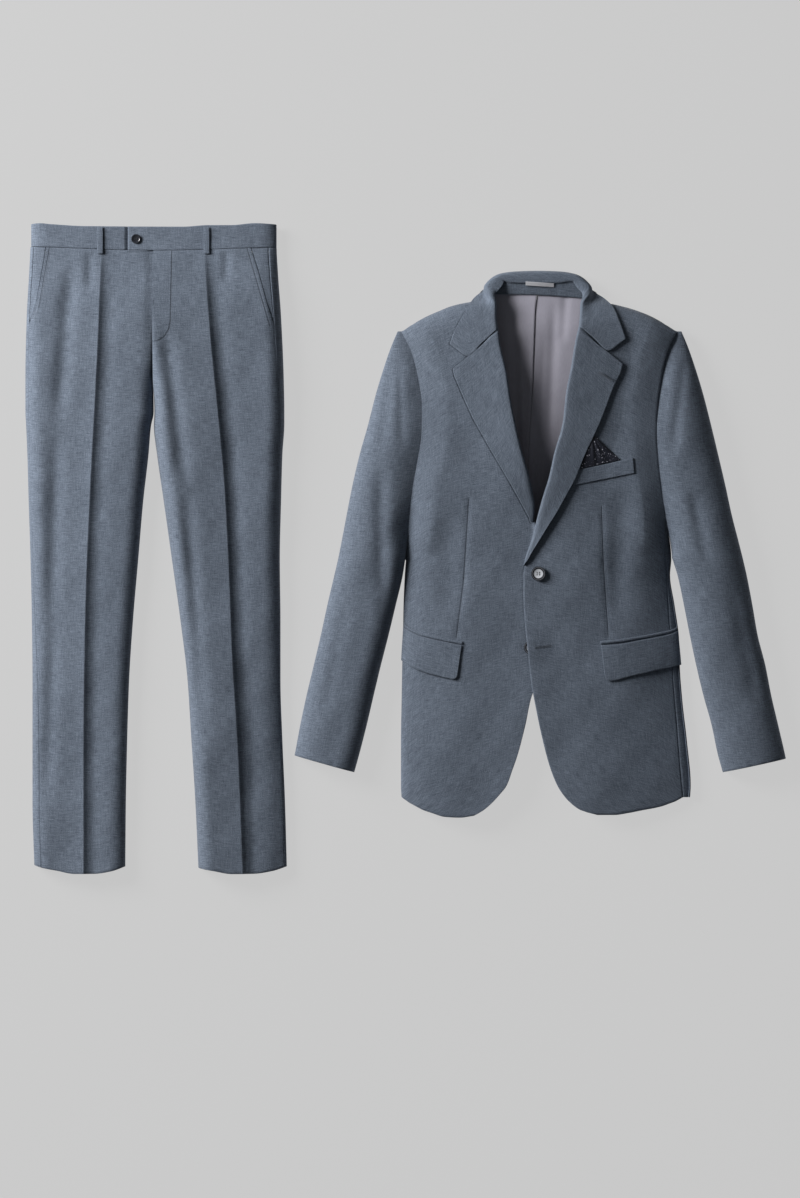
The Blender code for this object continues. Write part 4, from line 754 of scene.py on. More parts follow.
def shell(name, points, normals, thickness, place, material, level=""):
    """A thin closed skin with rounded edges: a grid of points and its copy moved in."""
    rows, columns = points.shape[:2]
    outer = points.copy()
    inner = points - normals * thickness
    rims = {"first_row": (0, slice(None)), "last_row": (-1, slice(None)),
            "first_column": (slice(None), 0), "last_column": (slice(None), -1)}
    for rim in level.split():
        inner[rims[rim] + (2,)] = points[rims[rim] + (2,)]
    border = [(0, j) for j in range(columns)] + [(i, columns - 1) for i in range(1, rows)]
    border += [(rows - 1, j) for j in range(columns - 2, -1, -1)] + [(i, 0) for i in range(rows - 2, 0, -1)]
    edge = np.array(border)
    i, j = edge.T
    beside = points[np.clip(i, 1, rows - 2), np.clip(j, 1, columns - 2)] if rows > 2 else points[i, j]
    toward = beside - points[i, j]
    reach = np.linalg.norm(toward, axis=-1, keepdims=True) + 1e-9
    pull = toward / reach * np.minimum(EDGE_ROUND * thickness, 0.4 * reach)
    rings = []
    for share in RIM_SHARES:
        rings.append(outer[i, j] * (1 - share) + inner[i, j] * share)
    outer[i, j] += pull
    inner[i, j] += pull
    local = np.concatenate([outer.reshape(-1, 3), inner.reshape(-1, 3)] + rings)
    count = rows * columns

    index = np.arange(count).reshape(rows, columns)
    quads = [index[:-1, :-1], index[:-1, 1:], index[1:, 1:], index[1:, :-1]]
    face = np.stack([q.reshape(-1) for q in quads], axis=-1)
    faces = [face, face[:, ::-1] + count]
    flat = i * columns + j
    ring_of = np.arange(len(edge))
    loops = [flat, 2 * count + ring_of, 2 * count + len(edge) + ring_of, flat + count]
    for upper, lower in zip(loops, loops[1:]):
        faces.append(stacked(np.roll(upper, -1), upper, lower, np.roll(lower, -1)))
    faces = np.concatenate(faces)

    place_m = world(place, local)
    first, second, third = place_m[faces[:, 0]], place_m[faces[:, 1]], place_m[faces[:, 2]]
    fourth = place_m[faces[:, 3]]
    volume = np.einsum("ij,ij->i", first, np.cross(second, third)).sum()
    volume += np.einsum("ij,ij->i", first, np.cross(third, fourth)).sum()
    if volume < 0:
        faces = faces[:, ::-1]
    mesh = bpy.data.meshes.new(name)
    mesh.from_pydata(place_m.tolist(), [], faces.tolist())
    mesh.shade_smooth()

    step_u = np.linalg.norm(np.diff(points, axis=1), axis=-1)
    step_v = np.linalg.norm(np.diff(points, axis=0), axis=-1)
    u = np.concatenate([np.zeros((rows, 1)), np.cumsum(step_u, axis=1)], axis=1)
    v = np.concatenate([np.zeros((1, columns)), np.cumsum(step_v, axis=0)], axis=0)
    u = u - u[:, columns // 2][:, None]
    cloth = stacked(u.reshape(-1), v.reshape(-1)) * MM
    cloth = np.concatenate([cloth, cloth, cloth[flat], cloth[flat]])
    layer = mesh.uv_layers.new(name="cloth")
    corner = np.zeros(len(mesh.loops), dtype=np.int32)
    mesh.loops.foreach_get("vertex_index", corner)
    layer.data.foreach_set("uv", cloth[corner].reshape(-1).astype(np.float32))
    mesh.materials.append(material)
    piece = bpy.data.objects.new(name, mesh)
    bpy.context.collection.objects.link(piece)
    return piece


def cut_size(piece):
    """Width and length of flat cloth that a piece is cut from, along its threads, and its area."""
    along_threads = np.zeros(len(piece.data.loops) * 2, dtype=np.float32)
    piece.data.uv_layers["cloth"].data.foreach_get("uv", along_threads)
    extent = np.ptp(along_threads.reshape(-1, 2), axis=0)
    width, length = (max(float(side), NARROWEST) for side in extent)
    face = sum(polygon.area for polygon in piece.data.polygons) / 2
    return width, length, min(max(face, LEAST_FILL * width * length), width * length)


def lay(piece, node):
    """A cloth piece that stands for its node, which is hidden; the size it is cut to is worked out but not
    used.
    """
    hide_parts(node)
    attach(piece, "root")
    width, length, area = cut_size(piece)


def round_under(turn):
    """Inset, and share of the height left, at an angle round a turned-up edge."""
    angle = math.radians(turn)
    return UNDER_ROUND * (1 - math.cos(angle)), 1 - math.sin(angle)


def hem_drop(side, span):
    """How far the hem hangs below its station, from the outer edge to the inside leg."""
    return read(HEM_DROP, "share", "drop", span if side < 0 else 1 - span * 0.9)


def trouser_lines(side, downs):
    """Outline, inner line, side seam and pocket line of one leg."""
    name = SIDE_NAMES[side]
    outline = read(LEGS, "down", "outer_" + name, downs)
    inner = read(LEGS, "down", "inner_" + name, downs)
    seam = outline - side * read(SIDE_SEAMS, "down", name, downs)
    end_seam = read(LEGS, "down", "outer_" + name, POCKET_END)
    end_seam = end_seam - side * read(SIDE_SEAMS, "down", name, POCKET_END)
    mouth = read(POCKET_MOUTHS, "down", name, np.minimum(downs, POCKET_BEND))
    share = np.clip((downs - POCKET_BEND) / (POCKET_END - POCKET_BEND), 0.0, 1.0)
    mouth = mouth * (1 - share) + end_seam * share
    return outline, inner, seam, mouth, share


def waist_shift(across, downs):
    """How far the waist seam lies below its station."""
    shift = read(WAIST_SEAM, "across", "down", across) + SEAM - WAIST_STATION
    v = (downs - WAIST_STATION) / (HEM_STATION - WAIST_STATION)
    return shift * (1 - v) ** 4


def trouser_front(side, step, material):
    """One front panel, from the pocket line and side seam to the centre and inside leg."""
    name = SIDE_NAMES[side]
    downs = spread(WAIST_STATION, HEM_STATION, step)
    outline, inner, seam, mouth, _ = trouser_lines(side, downs)
    outer = np.where(downs < POCKET_END, mouth, seam) - side * SEAM / 2
    if side < 0:
        inner = inner + read(FLY, "down", "lap", downs)
    inner = inner + side * SEAM / 2
    crease = read(CREASES, "down", name, downs)
    round_end = outline - side * np.maximum(np.abs(outline - outer) + 12, TROUSER_ROUND)
    inner_end = inner + side * (16 + (LEG_INNER_ROUND - 16) * ramp((downs - 280) / 20))
    columns = [outer + (round_end - outer) * s for s in eased(10)]
    columns += [round_end + (crease + side * 9 - round_end) * s for s in np.linspace(0, 1, 20)[1:-1]]
    columns += [crease + side * offset for offset in CREASE_OFFSETS]
    columns += [crease - side * 9 + (inner_end - crease + side * 9) * s for s in np.linspace(0, 1, 22)[1:-1]]
    columns += [inner + (inner_end - inner) * s for s in eased(10)[::-1]]
    across = np.stack(columns, axis=-1)
    span = (across - outline[:, None]) / (inner - outline)[:, None]
    v = ((downs - WAIST_STATION) / (HEM_STATION - WAIST_STATION))[:, None]
    hem = hem_drop(side, span)
    down = downs[:, None] + waist_shift(across, downs[:, None]) + hem * v ** 12
    height = right_front_trouser_top if side < 0 else trouser_top
    points, normals = lift(stacked(across, down), height)
    return shell("front_panel_" + name, points, normals, CLOTH, TROUSER_PLACE, material)


def pocket_facing(side, step, material):
    """The cloth that shows between the pocket mouth and the side seam."""
    name = SIDE_NAMES[side]
    tip = POCKET_BEND + (POCKET_END - POCKET_BEND) * POCKET_TIP
    downs = spread(WAIST_STATION, tip, step)
    _, _, seam, mouth, share = trouser_lines(side, downs)
    seam = seam - side * SEAM
    mouth = mouth + side * (SEAM + 0.9 * share)
    shares = np.linspace(0, 1, 9)
    across = np.stack([seam + (mouth - seam) * s for s in shares], axis=-1)
    waist = read(WAIST_SEAM, "across", "down", across) + SEAM - WAIST_STATION
    down = downs[:, None] + waist * (1 - (downs[:, None] - WAIST_STATION) / (POCKET_END - WAIST_STATION))
    points, normals = lift(stacked(across, down), trouser_top)
    points[..., 2] -= POCKET_DROP * np.interp(shares, (0, 0.2, 0.5), (0, 0.5, 1))
    return shell("pocket_facing_cloth_" + name, points, normals, CLOTH, TROUSER_PLACE, material)


def trouser_back(side, step, material):
    """One back panel: flat underneath, turned up round the side and at the inside leg."""
    name = SIDE_NAMES[side]
    downs = spread(WAIST_STATION + 4, HEM_STATION, step * 2)
    outline = read(LEGS, "down", "outer_" + name, downs)
    inner = read(LEGS, "down", "inner_" + name, downs) + side * SEAM
    seam = read(SIDE_SEAMS, "down", name, downs)
    join = read(LEG_JOIN, "down", "share", downs)
    rows = []
    facings = []
    for column in (1.0, 0.8, 0.6, 0.4, 0.2, 0.08):
        points, normals = lift(stacked(outline - side * seam * column, downs), trouser_top)
        rows.append(points)
        facings.append(normals)
    for turn in TURNS:
        inset, high = round_under(turn)
        z = np.full_like(downs, TROUSER_EDGE * high)
        rows.append(stacked(outline - side * inset, downs, z))
        facings.append(turned(side, turn, downs))
    floor_start = outline - side * UNDER_ROUND
    floor_end = inner + side * UNDER_ROUND
    for share in np.linspace(0, 1, 9)[1:-1]:
        rows.append(stacked(floor_start + (floor_end - floor_start) * share, downs, 0 * downs))
        facings.append(turned(side, 90, downs))
    for turn in TURNS[::-1]:
        inset, high = round_under(turn)
        z = (TROUSER_EDGE - LEG_RIM) * high * (1 - join)
        rows.append(stacked(inner + side * inset, downs, z))
        free = turned(-side, turn, downs) * (1 - join)[:, None]
        facings.append(free + turned(side, 90, downs) * join[:, None])
    points = np.stack(rows, axis=1)
    normals = np.stack(facings, axis=1)
    normals = unit(normals)
    span = (points[..., 0] - outline[:, None]) / (inner - outline)[:, None]
    hem = hem_drop(side, span)
    v = (downs - downs[0]) / (HEM_STATION - downs[0])
    rise = read(WAIST_SEAM, "across", "down", points[..., 0]) + SEAM - downs[0]
    points[..., 1] += hem * (v ** 12)[:, None]
    points[..., 1] += rise * ((1 - v) ** 4)[:, None] * np.clip(points[..., 2] / TROUSER_EDGE, 0, 1)
    return shell("back_panel_" + name, points, normals, CLOTH, TROUSER_PLACE, material)


def turned(side, turn, downs):
    """Outward direction at an angle below level, round a free edge."""
    direction = (side * math.cos(math.radians(turn)), 0.0, -math.sin(math.radians(turn)))
    return np.broadcast_to(np.array(direction), (len(downs), 3))


def waistband_front(side, step, material):
    """One front half of the waistband; the left one runs on past the centre as a tab."""
    name = SIDE_NAMES[side]
    outline = side * BAND_HALF
    rounded = outline - side * TROUSER_ROUND * eased(12)
    inner = TAB_UNDER if side < 0 else TAB_END
    level_part = spread(outline - side * TROUSER_ROUND, inner, step * 0.6)[1:]
    across = np.concatenate([rounded, level_part])
    if side > 0:
        across = across[::-1]
    height = right_band_top if side < 0 else band_top
    top = read(WAIST_TOP, "across", "down", across)
    bottom = read(WAIST_SEAM, "across", "down", across)
    down = np.stack([top + (bottom - top) * s for s in np.linspace(0, 1, 15)])
    plan = stacked(np.broadcast_to(across, down.shape), down)
    points, normals = lift(plan, height)
    ends = 0 if side < 0 else -1
    points[:, ends, 2] = TROUSER_EDGE + RIM
    normals[:, ends] = (side, 0, 0)
    rim = "first_column" if side < 0 else "last_column"
    return shell("waistband_cloth_" + name, points, normals, WAISTBAND, TROUSER_PLACE, material, rim)


def waistband_back(material):
    """The back of the waistband, flat underneath and turned up at both sides."""
    downs = spread(6.0, 42.0, 4)
    rows = []
    facings = []
    for side in (-1, 1):
        outline = np.full_like(downs, side * BAND_HALF)
        part = []
        facing = []
        for turn in TURNS:
            inset, high = round_under(turn)
            z = np.full_like(downs, TROUSER_EDGE * high)
            part.append(stacked(outline - side * inset, downs, z))
            facing.append(turned(side, turn, downs))
        rows += part if side < 0 else part[::-1]
        facings += facing if side < 0 else facing[::-1]
        if side < 0:
            for across in np.linspace(-BAND_HALF + UNDER_ROUND, BAND_HALF - UNDER_ROUND, 20)[1:-1]:
                rows.append(stacked(np.full_like(downs, across), downs, 0 * downs))
                facings.append(turned(side, 90, downs))
    points = np.stack(rows, axis=1)
    normals = np.stack(facings, axis=1)
    rims = "first_column last_column"
    return shell("waistband_cloth_back", points, normals, WAISTBAND, TROUSER_PLACE, material, rims)


def belt_loop(side, material):
    """A belt loop over the waistband, stitched at both ends and a little proud between."""
    centre = LOOP_CENTRES[side]
    downs = spread(6.5, 47.5, 1.6)
    stand = smooth(LOOP_STAND["down"], LOOP_STAND["gap"], downs)
    across = centre + LOOP_HALF * np.array([-1, -0.86, -0.5, 0, 0.5, 0.86, 1])
    plan = np.stack(np.meshgrid(across, downs), axis=-1)
    under = np.maximum(band_top(plan[..., 0], plan[..., 1]), trouser_top(plan[..., 0], plan[..., 1]))
    level = (under.max(axis=1, keepdims=True) + 2 * under) / 3
    swell = 0.25 * (1 - ((plan[..., 0] - centre) / LOOP_HALF) ** 2)
    points = np.dstack([plan, level + stand[:, None] + CLOTH + swell])
    normals = grid_normals(points, (4, 3))
    return shell("belt_loop_cloth_" + SIDE_NAMES[side], points, normals, CLOTH, TROUSER_PLACE, material)


def front_plan(side, step):
    """Plan points of a jacket front, and the rows that they stand on."""
    name = SIDE_NAMES[side]
    downs = spread(ARM_TOP, BODY_LOW, step)
    v = (downs - downs[0]) / (downs[-1] - downs[0])
    edge = RIGHT_FRONT_EDGE if side < 0 else LEFT_FRONT_EDGE
    hem = RIGHT_HEM if side < 0 else LEFT_HEM

    def outer(share):
        down = downs[0] + np.asarray(share) * (downs[-1] - downs[0])
        across = read(BODY_SIDES, "down", name, down)
        if side > 0:
            seam = read(LEFT_SIDE_SEAM, "down", "across", down)
            across = np.where(down > LEFT_SIDE_SEAM["down"][0], np.minimum(across, seam), across)
        return stacked(across, down)

    def inner(share):
        return by_down(edge, share)

    def top(share):
        across = outer(0.0)[0] + (edge["across"][0] - outer(0.0)[0]) * np.asarray(share)
        return stacked(across, read(SHOULDERS, "across", "down", across))

    def bottom(share):
        across = outer(1.0)[0] + (edge["across"][-1] - outer(1.0)[0]) * np.asarray(share)
        return stacked(across, read(hem, "across", "down", across))

    width = np.abs(inner(v)[:, 0] - outer(v)[:, 0])[:, None]
    near = np.broadcast_to(FRONT_NEAR, (len(width), len(FRONT_NEAR)))
    if side < 0:
        lap = inner(v)[:, 0] - read(LEFT_FRONT_EDGE, "down", "across", inner(v)[:, 1])
        start = np.minimum(width - (lap + 3)[:, None], width - 18)
        body = FRONT_NEAR[-1] + (start - FRONT_NEAR[-1]) * np.linspace(0, 1, 58)[1:]
        dip = start + np.linspace(0, 1, 7)[1:] * 14
        rest = start + 14 + (width - start - 14) * np.linspace(0, 1, 6)[1:]
        distance = np.concatenate([near, body, dip, rest], axis=1)
    else:
        body = FRONT_NEAR[-1] + (width - FRONT_NEAR[-1]) * np.linspace(0, 1, 66)[1:]
        distance = np.concatenate([near, body], axis=1)
    u = distance / width
    plan = coons(outer, inner, top, bottom, u, np.broadcast_to(v[:, None], u.shape))
    inset = np.where(downs > ARMPIT, 0.0, -ARM_OVERLAP)
    if side > 0:
        inset = np.where(downs > LEFT_SIDE_SEAM["down"][0], SEAM / 2, inset)
    plan[:, 0, 0] -= side * inset
    return plan, downs


def jacket_front(side, step, material):
    """One front of the jacket, from the armhole and side to the neck, roll line and edge."""
    plan, downs = front_plan(side, step)
    points, normals = lift(plan, right_front_top if side < 0 else left_front_top)
    points[..., 2] += roll_raise(points)
    points[0, :, 2] = np.maximum(points[0, :, 2], JACKET_EDGE + RIM)
    if side < 0:
        points[downs > ARMPIT, 0, 2] = JACKET_EDGE + RIM
    rims = "first_row first_column" if side < 0 else "first_row"
    name = "jacket_front_cloth_" + SIDE_NAMES[side]
    return shell(name, points, normals, CLOTH, JACKET_PLACE, material, rims)


def jacket_side(side, step, material):
    """A side panel: its strip on top, round the free edge and a little way underneath."""
    name = SIDE_NAMES[side]
    downs = spread(380 if side > 0 else 404, BODY_LOW, step)
    outline = read(BODY_SIDES, "down", name, downs)
    low = read(UNDERARM, "down", "share", downs)
    rows = []
    facings = []
    if side > 0:
        seam = read(LEFT_SIDE_SEAM, "down", "across", downs) + SEAM / 2
        outline = outline - np.where(downs < ARMPIT, ARM_GAP / 2, 0.0)
        for share in (0, 0.2, 0.4, 0.6, 0.78, 0.9, 0.97):
            points, normals = lift(stacked(seam + (outline - seam) * share, downs), jacket_top)
            rows.append(points)
            facings.append(normals)
    else:
        outline = outline + np.where(downs < ARMPIT, ARM_GAP / 2, 0.0)
    for turn in TURNS:
        inset, high = round_under(turn)
        z = (JACKET_EDGE - (RIM if side < 0 else 0)) * high * low
        if side > 0 and turn == 0:
            z = jacket_top(outline, downs)
        rows.append(stacked(outline - side * inset, downs, z))
        free = turned(side, turn, downs) * low[:, None]
        facings.append(free + turned(side, 90, downs) * (1 - low)[:, None])
    last = rows[-1][:, 0]
    under = np.interp(downs, *UNDER_SEAMS[name])
    for share in (0.35, 0.7, 1.0):
        rows.append(stacked(last + (under - last) * share, downs, 0 * downs))
        facings.append(turned(side, 90, downs))
    points = np.stack(rows, axis=1)
    normals = np.stack(facings, axis=1)
    normals = unit(normals)
    level = "first_column" if side < 0 else ""
    return shell("side_panel_" + name, points, normals, CLOTH, JACKET_PLACE, material, level)


def back_height(across, down):
    """Height of the back: flat, and turned up along the shoulder."""
    distance = down - read(SHOULDERS, "across", "down", across)
    return (JACKET_EDGE - RIM) * (1.0 - arch(distance, UNDER_ROUND))


def jacket_back(side, step, material):
    """One back half, flat underneath, turned up along the shoulder, with the vent spread below."""
    name = SIDE_NAMES[side]
    downs = np.unique(np.concatenate([spread(ARM_TOP, 130, 3), spread(130, BODY_LOW, step * 2)]))
    v = (downs - downs[0]) / (downs[-1] - downs[0])
    centre = RIGHT_BACK_CENTRE if side < 0 else LEFT_BACK_CENTRE
    across = np.linspace(*BACK_CORNERS[name], 6)
    shoulder = stacked(across, read(SHOULDERS, "across", "down", across))
    shoulder[0, 1] = downs[0]
    upper = np.concatenate([shoulder, BACK_NECK[name], [(centre["across"][0], centre["down"][0])]])
    upper = {"across": upper[:, 0], "down": upper[:, 1]}

    def outer(share):
        down = downs[0] + share * (downs[-1] - downs[0])
        arm = read(BODY_SIDES, "down", name, down) - side * ARM_GAP / 2
        seam = np.interp(down, *UNDER_SEAMS[name]) - side * SEAM
        return stacked(np.where(down < 403, arm, seam), down)

    def inner(share):
        return by_down(centre, share)

    def top(share):
        return along(upper, "across", "down", share)

    def bottom(share):
        ends = np.array([outer(np.array(1.0)), inner(np.array(1.0))])
        share = np.asarray(share)[..., None]
        return ends[0] * (1 - share) + ends[1] * share

    keys = np.arange(len(BACK_COLUMNS))
    row = np.interp(np.linspace(0, keys[-1], 4 * keys[-1] + 1), keys, BACK_COLUMNS)
    u = np.broadcast_to(row, (len(downs), len(row)))
    plan = coons(outer, inner, top, bottom, u, np.broadcast_to(v[:, None], u.shape))
    points, normals = lift(plan, back_height, -1)
    points[downs > 118, :, 2] = 0.0
    normals[downs > 118] = (0, 0, -1)
    return shell("back_cloth_" + name, points, normals, CLOTH, JACKET_PLACE, material)


def sleeve_plan(side, downs, u):
    """Plan points of a sleeve at shares of its width, its rows tilting towards the cuff."""
    name = SIDE_NAMES[side]
    rows = SLEEVE_RIGHT if side < 0 else SLEEVE_LEFT
    tilt = CUFF_TILT[name] * ramp((downs - CUFF_TILT_START) / (CUFF_DOWN - CUFF_TILT_START))
    outer_down = downs - tilt
    outer = stacked(read(rows, "down", "outer", outer_down), outer_down)
    inner = stacked(sleeve_inner(side, downs), downs)
    inner[:, 0] += side * ARM_GAP / 2 * (downs < ARMPIT)
    width = np.abs(inner[:, 0] - outer[:, 0])[:, None]
    u = u(width) if callable(u) else np.broadcast_to(u, (len(downs), len(u)))
    return outer[:, None] * (1 - u)[..., None] + inner[:, None] * u[..., None]


def upper_sleeve(side, step, material):
    """The upper half of a sleeve, from its outer edge to the armhole seam and inner edge."""
    downs = spread(ARM_TOP, CUFF_DOWN, step)
    half = eased(20) * 0.5
    plan = sleeve_plan(side, downs, np.concatenate([half, (1 - half)[::-1][1:]]))
    points, normals = lift(plan, sleeve_top(side))
    points[:, 0, 2] = JACKET_EDGE + RIM
    points[downs > SLEEVE_FREE, -1, 2] = JACKET_EDGE + RIM
    name = "sleeve_top_" + SIDE_NAMES[side]
    return shell(name, points, normals, CLOTH, JACKET_PLACE, material, "first_column")


def under_sleeve(side, step, material):
    """The under half of a sleeve, flat where it rests and turned up at its edges."""
    downs = spread(ARM_TOP, CUFF_DOWN, step * 1.5)
    low = read(UNDERARM, "down", "share", downs)
    insets = UNDER_ROUND * (1 - np.cos(np.radians(TURNS)))
    floor = np.array([0.2, 0.4, 0.6, 0.8])

    def shares(width):
        near = np.minimum(insets, width * 0.46) / width
        first = near[:, -1:]
        middle = first + (1 - 2 * first) * floor
        return np.concatenate([near, middle, (1 - near)[:, ::-1]], axis=1)

    plan = sleeve_plan(side, downs, shares)
    turns = list(TURNS) + [90] * len(floor) + list(TURNS[::-1])
    points = np.zeros(plan.shape[:2] + (3,))
    points[..., :2] = plan
    normals = np.zeros_like(points)
    for column, turn in enumerate(turns):
        outer_half = column < len(turns) / 2
        share = np.ones_like(low) if outer_half else low
        points[:, column, 2] = (JACKET_EDGE - RIM) * (1 - math.sin(math.radians(turn))) * share
        face = turned(side if outer_half else -side, turn, downs)
        normals[:, column] = face * share[:, None] + turned(side, 90, downs) * (1 - share)[:, None]
    normals = unit(normals)
    name = "sleeve_under_" + SIDE_NAMES[side]
    return shell(name, points, normals, CLOTH, JACKET_PLACE, material, "first_column")


def roll_raise(points):
    """How much the cloth stands up towards the roll line, most beside the chest."""
    across, down = points[..., 0], points[..., 1]
    right = read(LAPEL_RIGHT, "roll_down", "roll_across", np.minimum(down, 395))
    left = read(LAPEL_LEFT, "roll_down", "roll_across", np.minimum(down, 470))
    away = np.where(across < (right + left) / 2, right - across, across - left)
    share = np.clip(1 - np.maximum(away, 0) / ROLL_REACH, 0, 1) ** 1.3
    on_right = across < (right + left) / 2
    low = np.where(on_right, 1 - ramp((down - 250) / 130), 1 - ramp((down - 270) / 180))
    return np.where(on_right, ROLL_RAISES[0], ROLL_RAISES[1]) * share * low * ramp((down - 30) / 70)


def at_height(plan, height):
    """Plan points with a height each, or with one for all."""
    return np.concatenate([plan, np.broadcast_to(height, len(plan))[:, None]], axis=-1)


def lapel_points(side):
    """A lapel's grid: round the roll line from underneath, then out to its edge."""
    rows = LAPEL_RIGHT if side < 0 else LAPEL_LEFT
    roll = stacked(rows["roll_across"], rows["roll_down"])
    outer = stacked(rows["outer_across"], rows["outer_down"])
    span = outer - roll
    width = np.linalg.norm(span, axis=-1)
    direction = span / width[:, None]
    top = LAPEL_CLEAR + CLOTH
    columns = []
    for distance, share in zip(*LAPEL_HOOK.values()):
        plan = roll + direction * (distance * rows["hook"])[:, None]
        base = jacket_top(plan[:, 0], plan[:, 1])
        rise = share * (rows["depth"] if share < 0 else top)
        columns.append(at_height(plan, base + rise))
    start = LAPEL_HOOK["distance"][-1] * rows["hook"]
    for share in LAPEL_COLUMNS:
        plan = roll + direction * (start + (width - start) * share)[:, None]
        base = jacket_top(plan[:, 0], plan[:, 1])
        raised = read(LAPEL_LIFT, "share", "lift", np.linspace(0, 1, len(width))) * share
        columns.append(at_height(plan, base + top + raised))
    return np.stack(columns, axis=1)


def lapel(side, material):
    """A lapel, smooth along its roll and its edge."""
    points = densify(lapel_points(side), 9, 6)
    points[..., 2] += roll_raise(points)
    onward = points[0] - points[5]
    onward = unit(onward)
    share = np.linspace(0, 1, points.shape[1])
    tuck = 0.3 + GORGE_TUCK * (1 - ramp((share - 0.45) / 0.25))
    hidden = points[0] + onward * tuck[:, None] - stacked(0 * tuck, 0 * tuck, 0.3 * tuck)
    points = np.concatenate([hidden[None], points])
    normals = grid_normals(points, (4, -2))
    return shell("lapel_cloth_" + SIDE_NAMES[side], points, normals, CLOTH, JACKET_PLACE, material)


def collar_leaf(material):
    """The collar's outer leaf: over the fronts at its ends, and round the neck behind."""
    count = len(COLLAR["fall"])
    roll = stacked(COLLAR["roll_across"], COLLAR["roll_down"])
    edge = stacked(COLLAR["edge_across"], COLLAR["edge_down"])
    span = edge - roll
    width = np.linalg.norm(span, axis=-1)
    direction = span / width[:, None]
    fall = COLLAR["fall"]
    top = LAPEL_CLEAR + CLOTH
    reach = COLLAR_ROLL["distance"]
    columns = []
    for number, (distance, rise, crest) in enumerate(zip(*COLLAR_ROLL.values())):
        plan = roll + direction * distance
        base = jacket_top(plan[:, 0], np.maximum(plan[:, 1], 40.0))
        lying = at_height(plan, base + rise + COLLAR["height"])
        back_plan = roll + direction * (-10 + (width[:, None] + 10) * number / (len(reach) - 1))
        standing = at_height(back_plan, crest)
        columns.append(lying * (1 - fall)[:, None] + standing * fall[:, None])
    for share, dip, inward, low in zip(*COLLAR_FALL.values()):
        plan = roll + direction * (reach[-1] + (width - reach[-1]) * share)[:, None]
        plan = plan + stacked(np.zeros(count), COLLAR["notch"] * dip)
        base = jacket_top(plan[:, 0], plan[:, 1])
        lying = at_height(plan, base + top + COLLAR["height"])
        back_plan = roll + direction * (width - inward)[:, None]
        standing = at_height(back_plan, low)
        columns.append(lying * (1 - fall)[:, None] + standing * fall[:, None])
    points = densify(np.stack(columns, axis=1), 8, 6)
    points[..., 2] += roll_raise(points)
    normals = grid_normals(points, (16, 42))
    return shell("collar_cloth", points, normals, CLOTH, JACKET_PLACE, material)


def neck_height(down):
    """Height of the collar's inside between its roll and the lining."""
    return read(NECK, "down", "height", down)


def collar_stand(material):
    """The stand: the band inside the back neck."""
    across = np.linspace(-66, 74, 45)
    bow = 1 - ((across - 4) / 61) ** 2
    rows = []
    for share in np.linspace(0, 1, 12):
        down = 13 - 1.5 * bow + (39 + 2.5 * (across - 4) / 61 - 13) * share
        rows.append(stacked(across, down, neck_height(down)))
    points = np.stack(rows)
    normals = grid_normals(points, (1, 4))
    return shell("stand_cloth", points, normals, CLOTH, JACKET_PLACE, material)


def lining_back(side, step, material):
    """One half of the back lining that shows in the neck, stepped along its centre pleat."""
    name = SIDE_NAMES[side]
    downs = spread(LINING_TOP, LINING_LOW, step)
    pleat = read(LINING_PLEAT, "down", "across", downs)
    outer = read(LINING_EDGES, "down", name, downs)
    inner = pleat + side * SEAM / 2
    shares = np.linspace(0, 1, 25)
    across = np.stack([outer + (inner - outer) * s for s in shares], axis=-1)
    keys = (0, 0.33, 0.67, 1)
    z = 5.6 + 1.4 * np.interp(shares, keys, (0, 0.5, 0.9, 1.0))
    if side < 0:
        z = z + 1.6 * smooth(np.array(keys), np.array([0, 0.2, 0.7, 1.0]), shares)
    down = np.broadcast_to(downs[:, None], across.shape)
    ripple = folds(LINING_FOLDS, across, down) * np.sin(np.pi * shares)
    high = 9.0 * ramp((down - 38) / 60) * (1 - ramp((down - 250) / 130)) * arch(shares, 0.16)
    z = np.broadcast_to(z, across.shape) + high - ripple - 1.5 * (1 - ramp((down - 34) / 14))
    points = stacked(across, down, z)
    normals = grid_normals(points, (2, 1))
    return shell("lining_cloth_" + name, points, normals, LINING, JACKET_PLACE, material)


def patch_plan(corners, columns, rows):
    """Plan points of a four-cornered piece."""
    first, second, third, fourth = (np.array(c, dtype=float) for c in corners)
    u = np.linspace(0, 1, columns)[None, :, None]
    v = np.linspace(0, 1, rows)[:, None, None]
    return (first * (1 - u) + second * u) * (1 - v) + (fourth * (1 - u) + third * u) * v


def breast_welt(material):
    """The slanted welt of the breast pocket."""
    points, normals = lift(patch_plan(BREAST_WELT, 60, 18), jacket_top)
    points = points + normals * (0.5 + WELT)
    points[..., 2] += roll_raise(points)
    return shell("breast_welt_cloth", points, normals, WELT, JACKET_PLACE, material)


def pocket_square(material):
    """The folded square that stands out of the breast pocket, puffed into soft folds."""
    plan = patch_plan(POCKET_SQUARE, 40, 36)
    points, normals = lift(plan, jacket_top)
    v = np.linspace(0, 1, 36)[:, None]
    u = np.linspace(0, 1, 40)[None, :]
    puff = np.sin(np.pi * u) ** 0.6 * np.sin(np.pi * np.clip(v * 0.8 + 0.12, 0, 1))
    waves = np.zeros_like(puff)
    for start, end, depth, width in zip(*SQUARE_FOLDS.values()):
        waves = waves + depth * np.exp(-(((u - start - (end - start) * v) / width) ** 2))
    rise = SQUARE_PUFF * puff - waves * puff
    points = points + normals * (0.4 + SQUARE + np.maximum(rise, 0.0))[..., None]
    normals = grid_normals(points, (18, 20))
    points[..., 2] += roll_raise(points)
    return shell("pocket_square_cloth", points, normals, SQUARE, JACKET_PLACE, material)


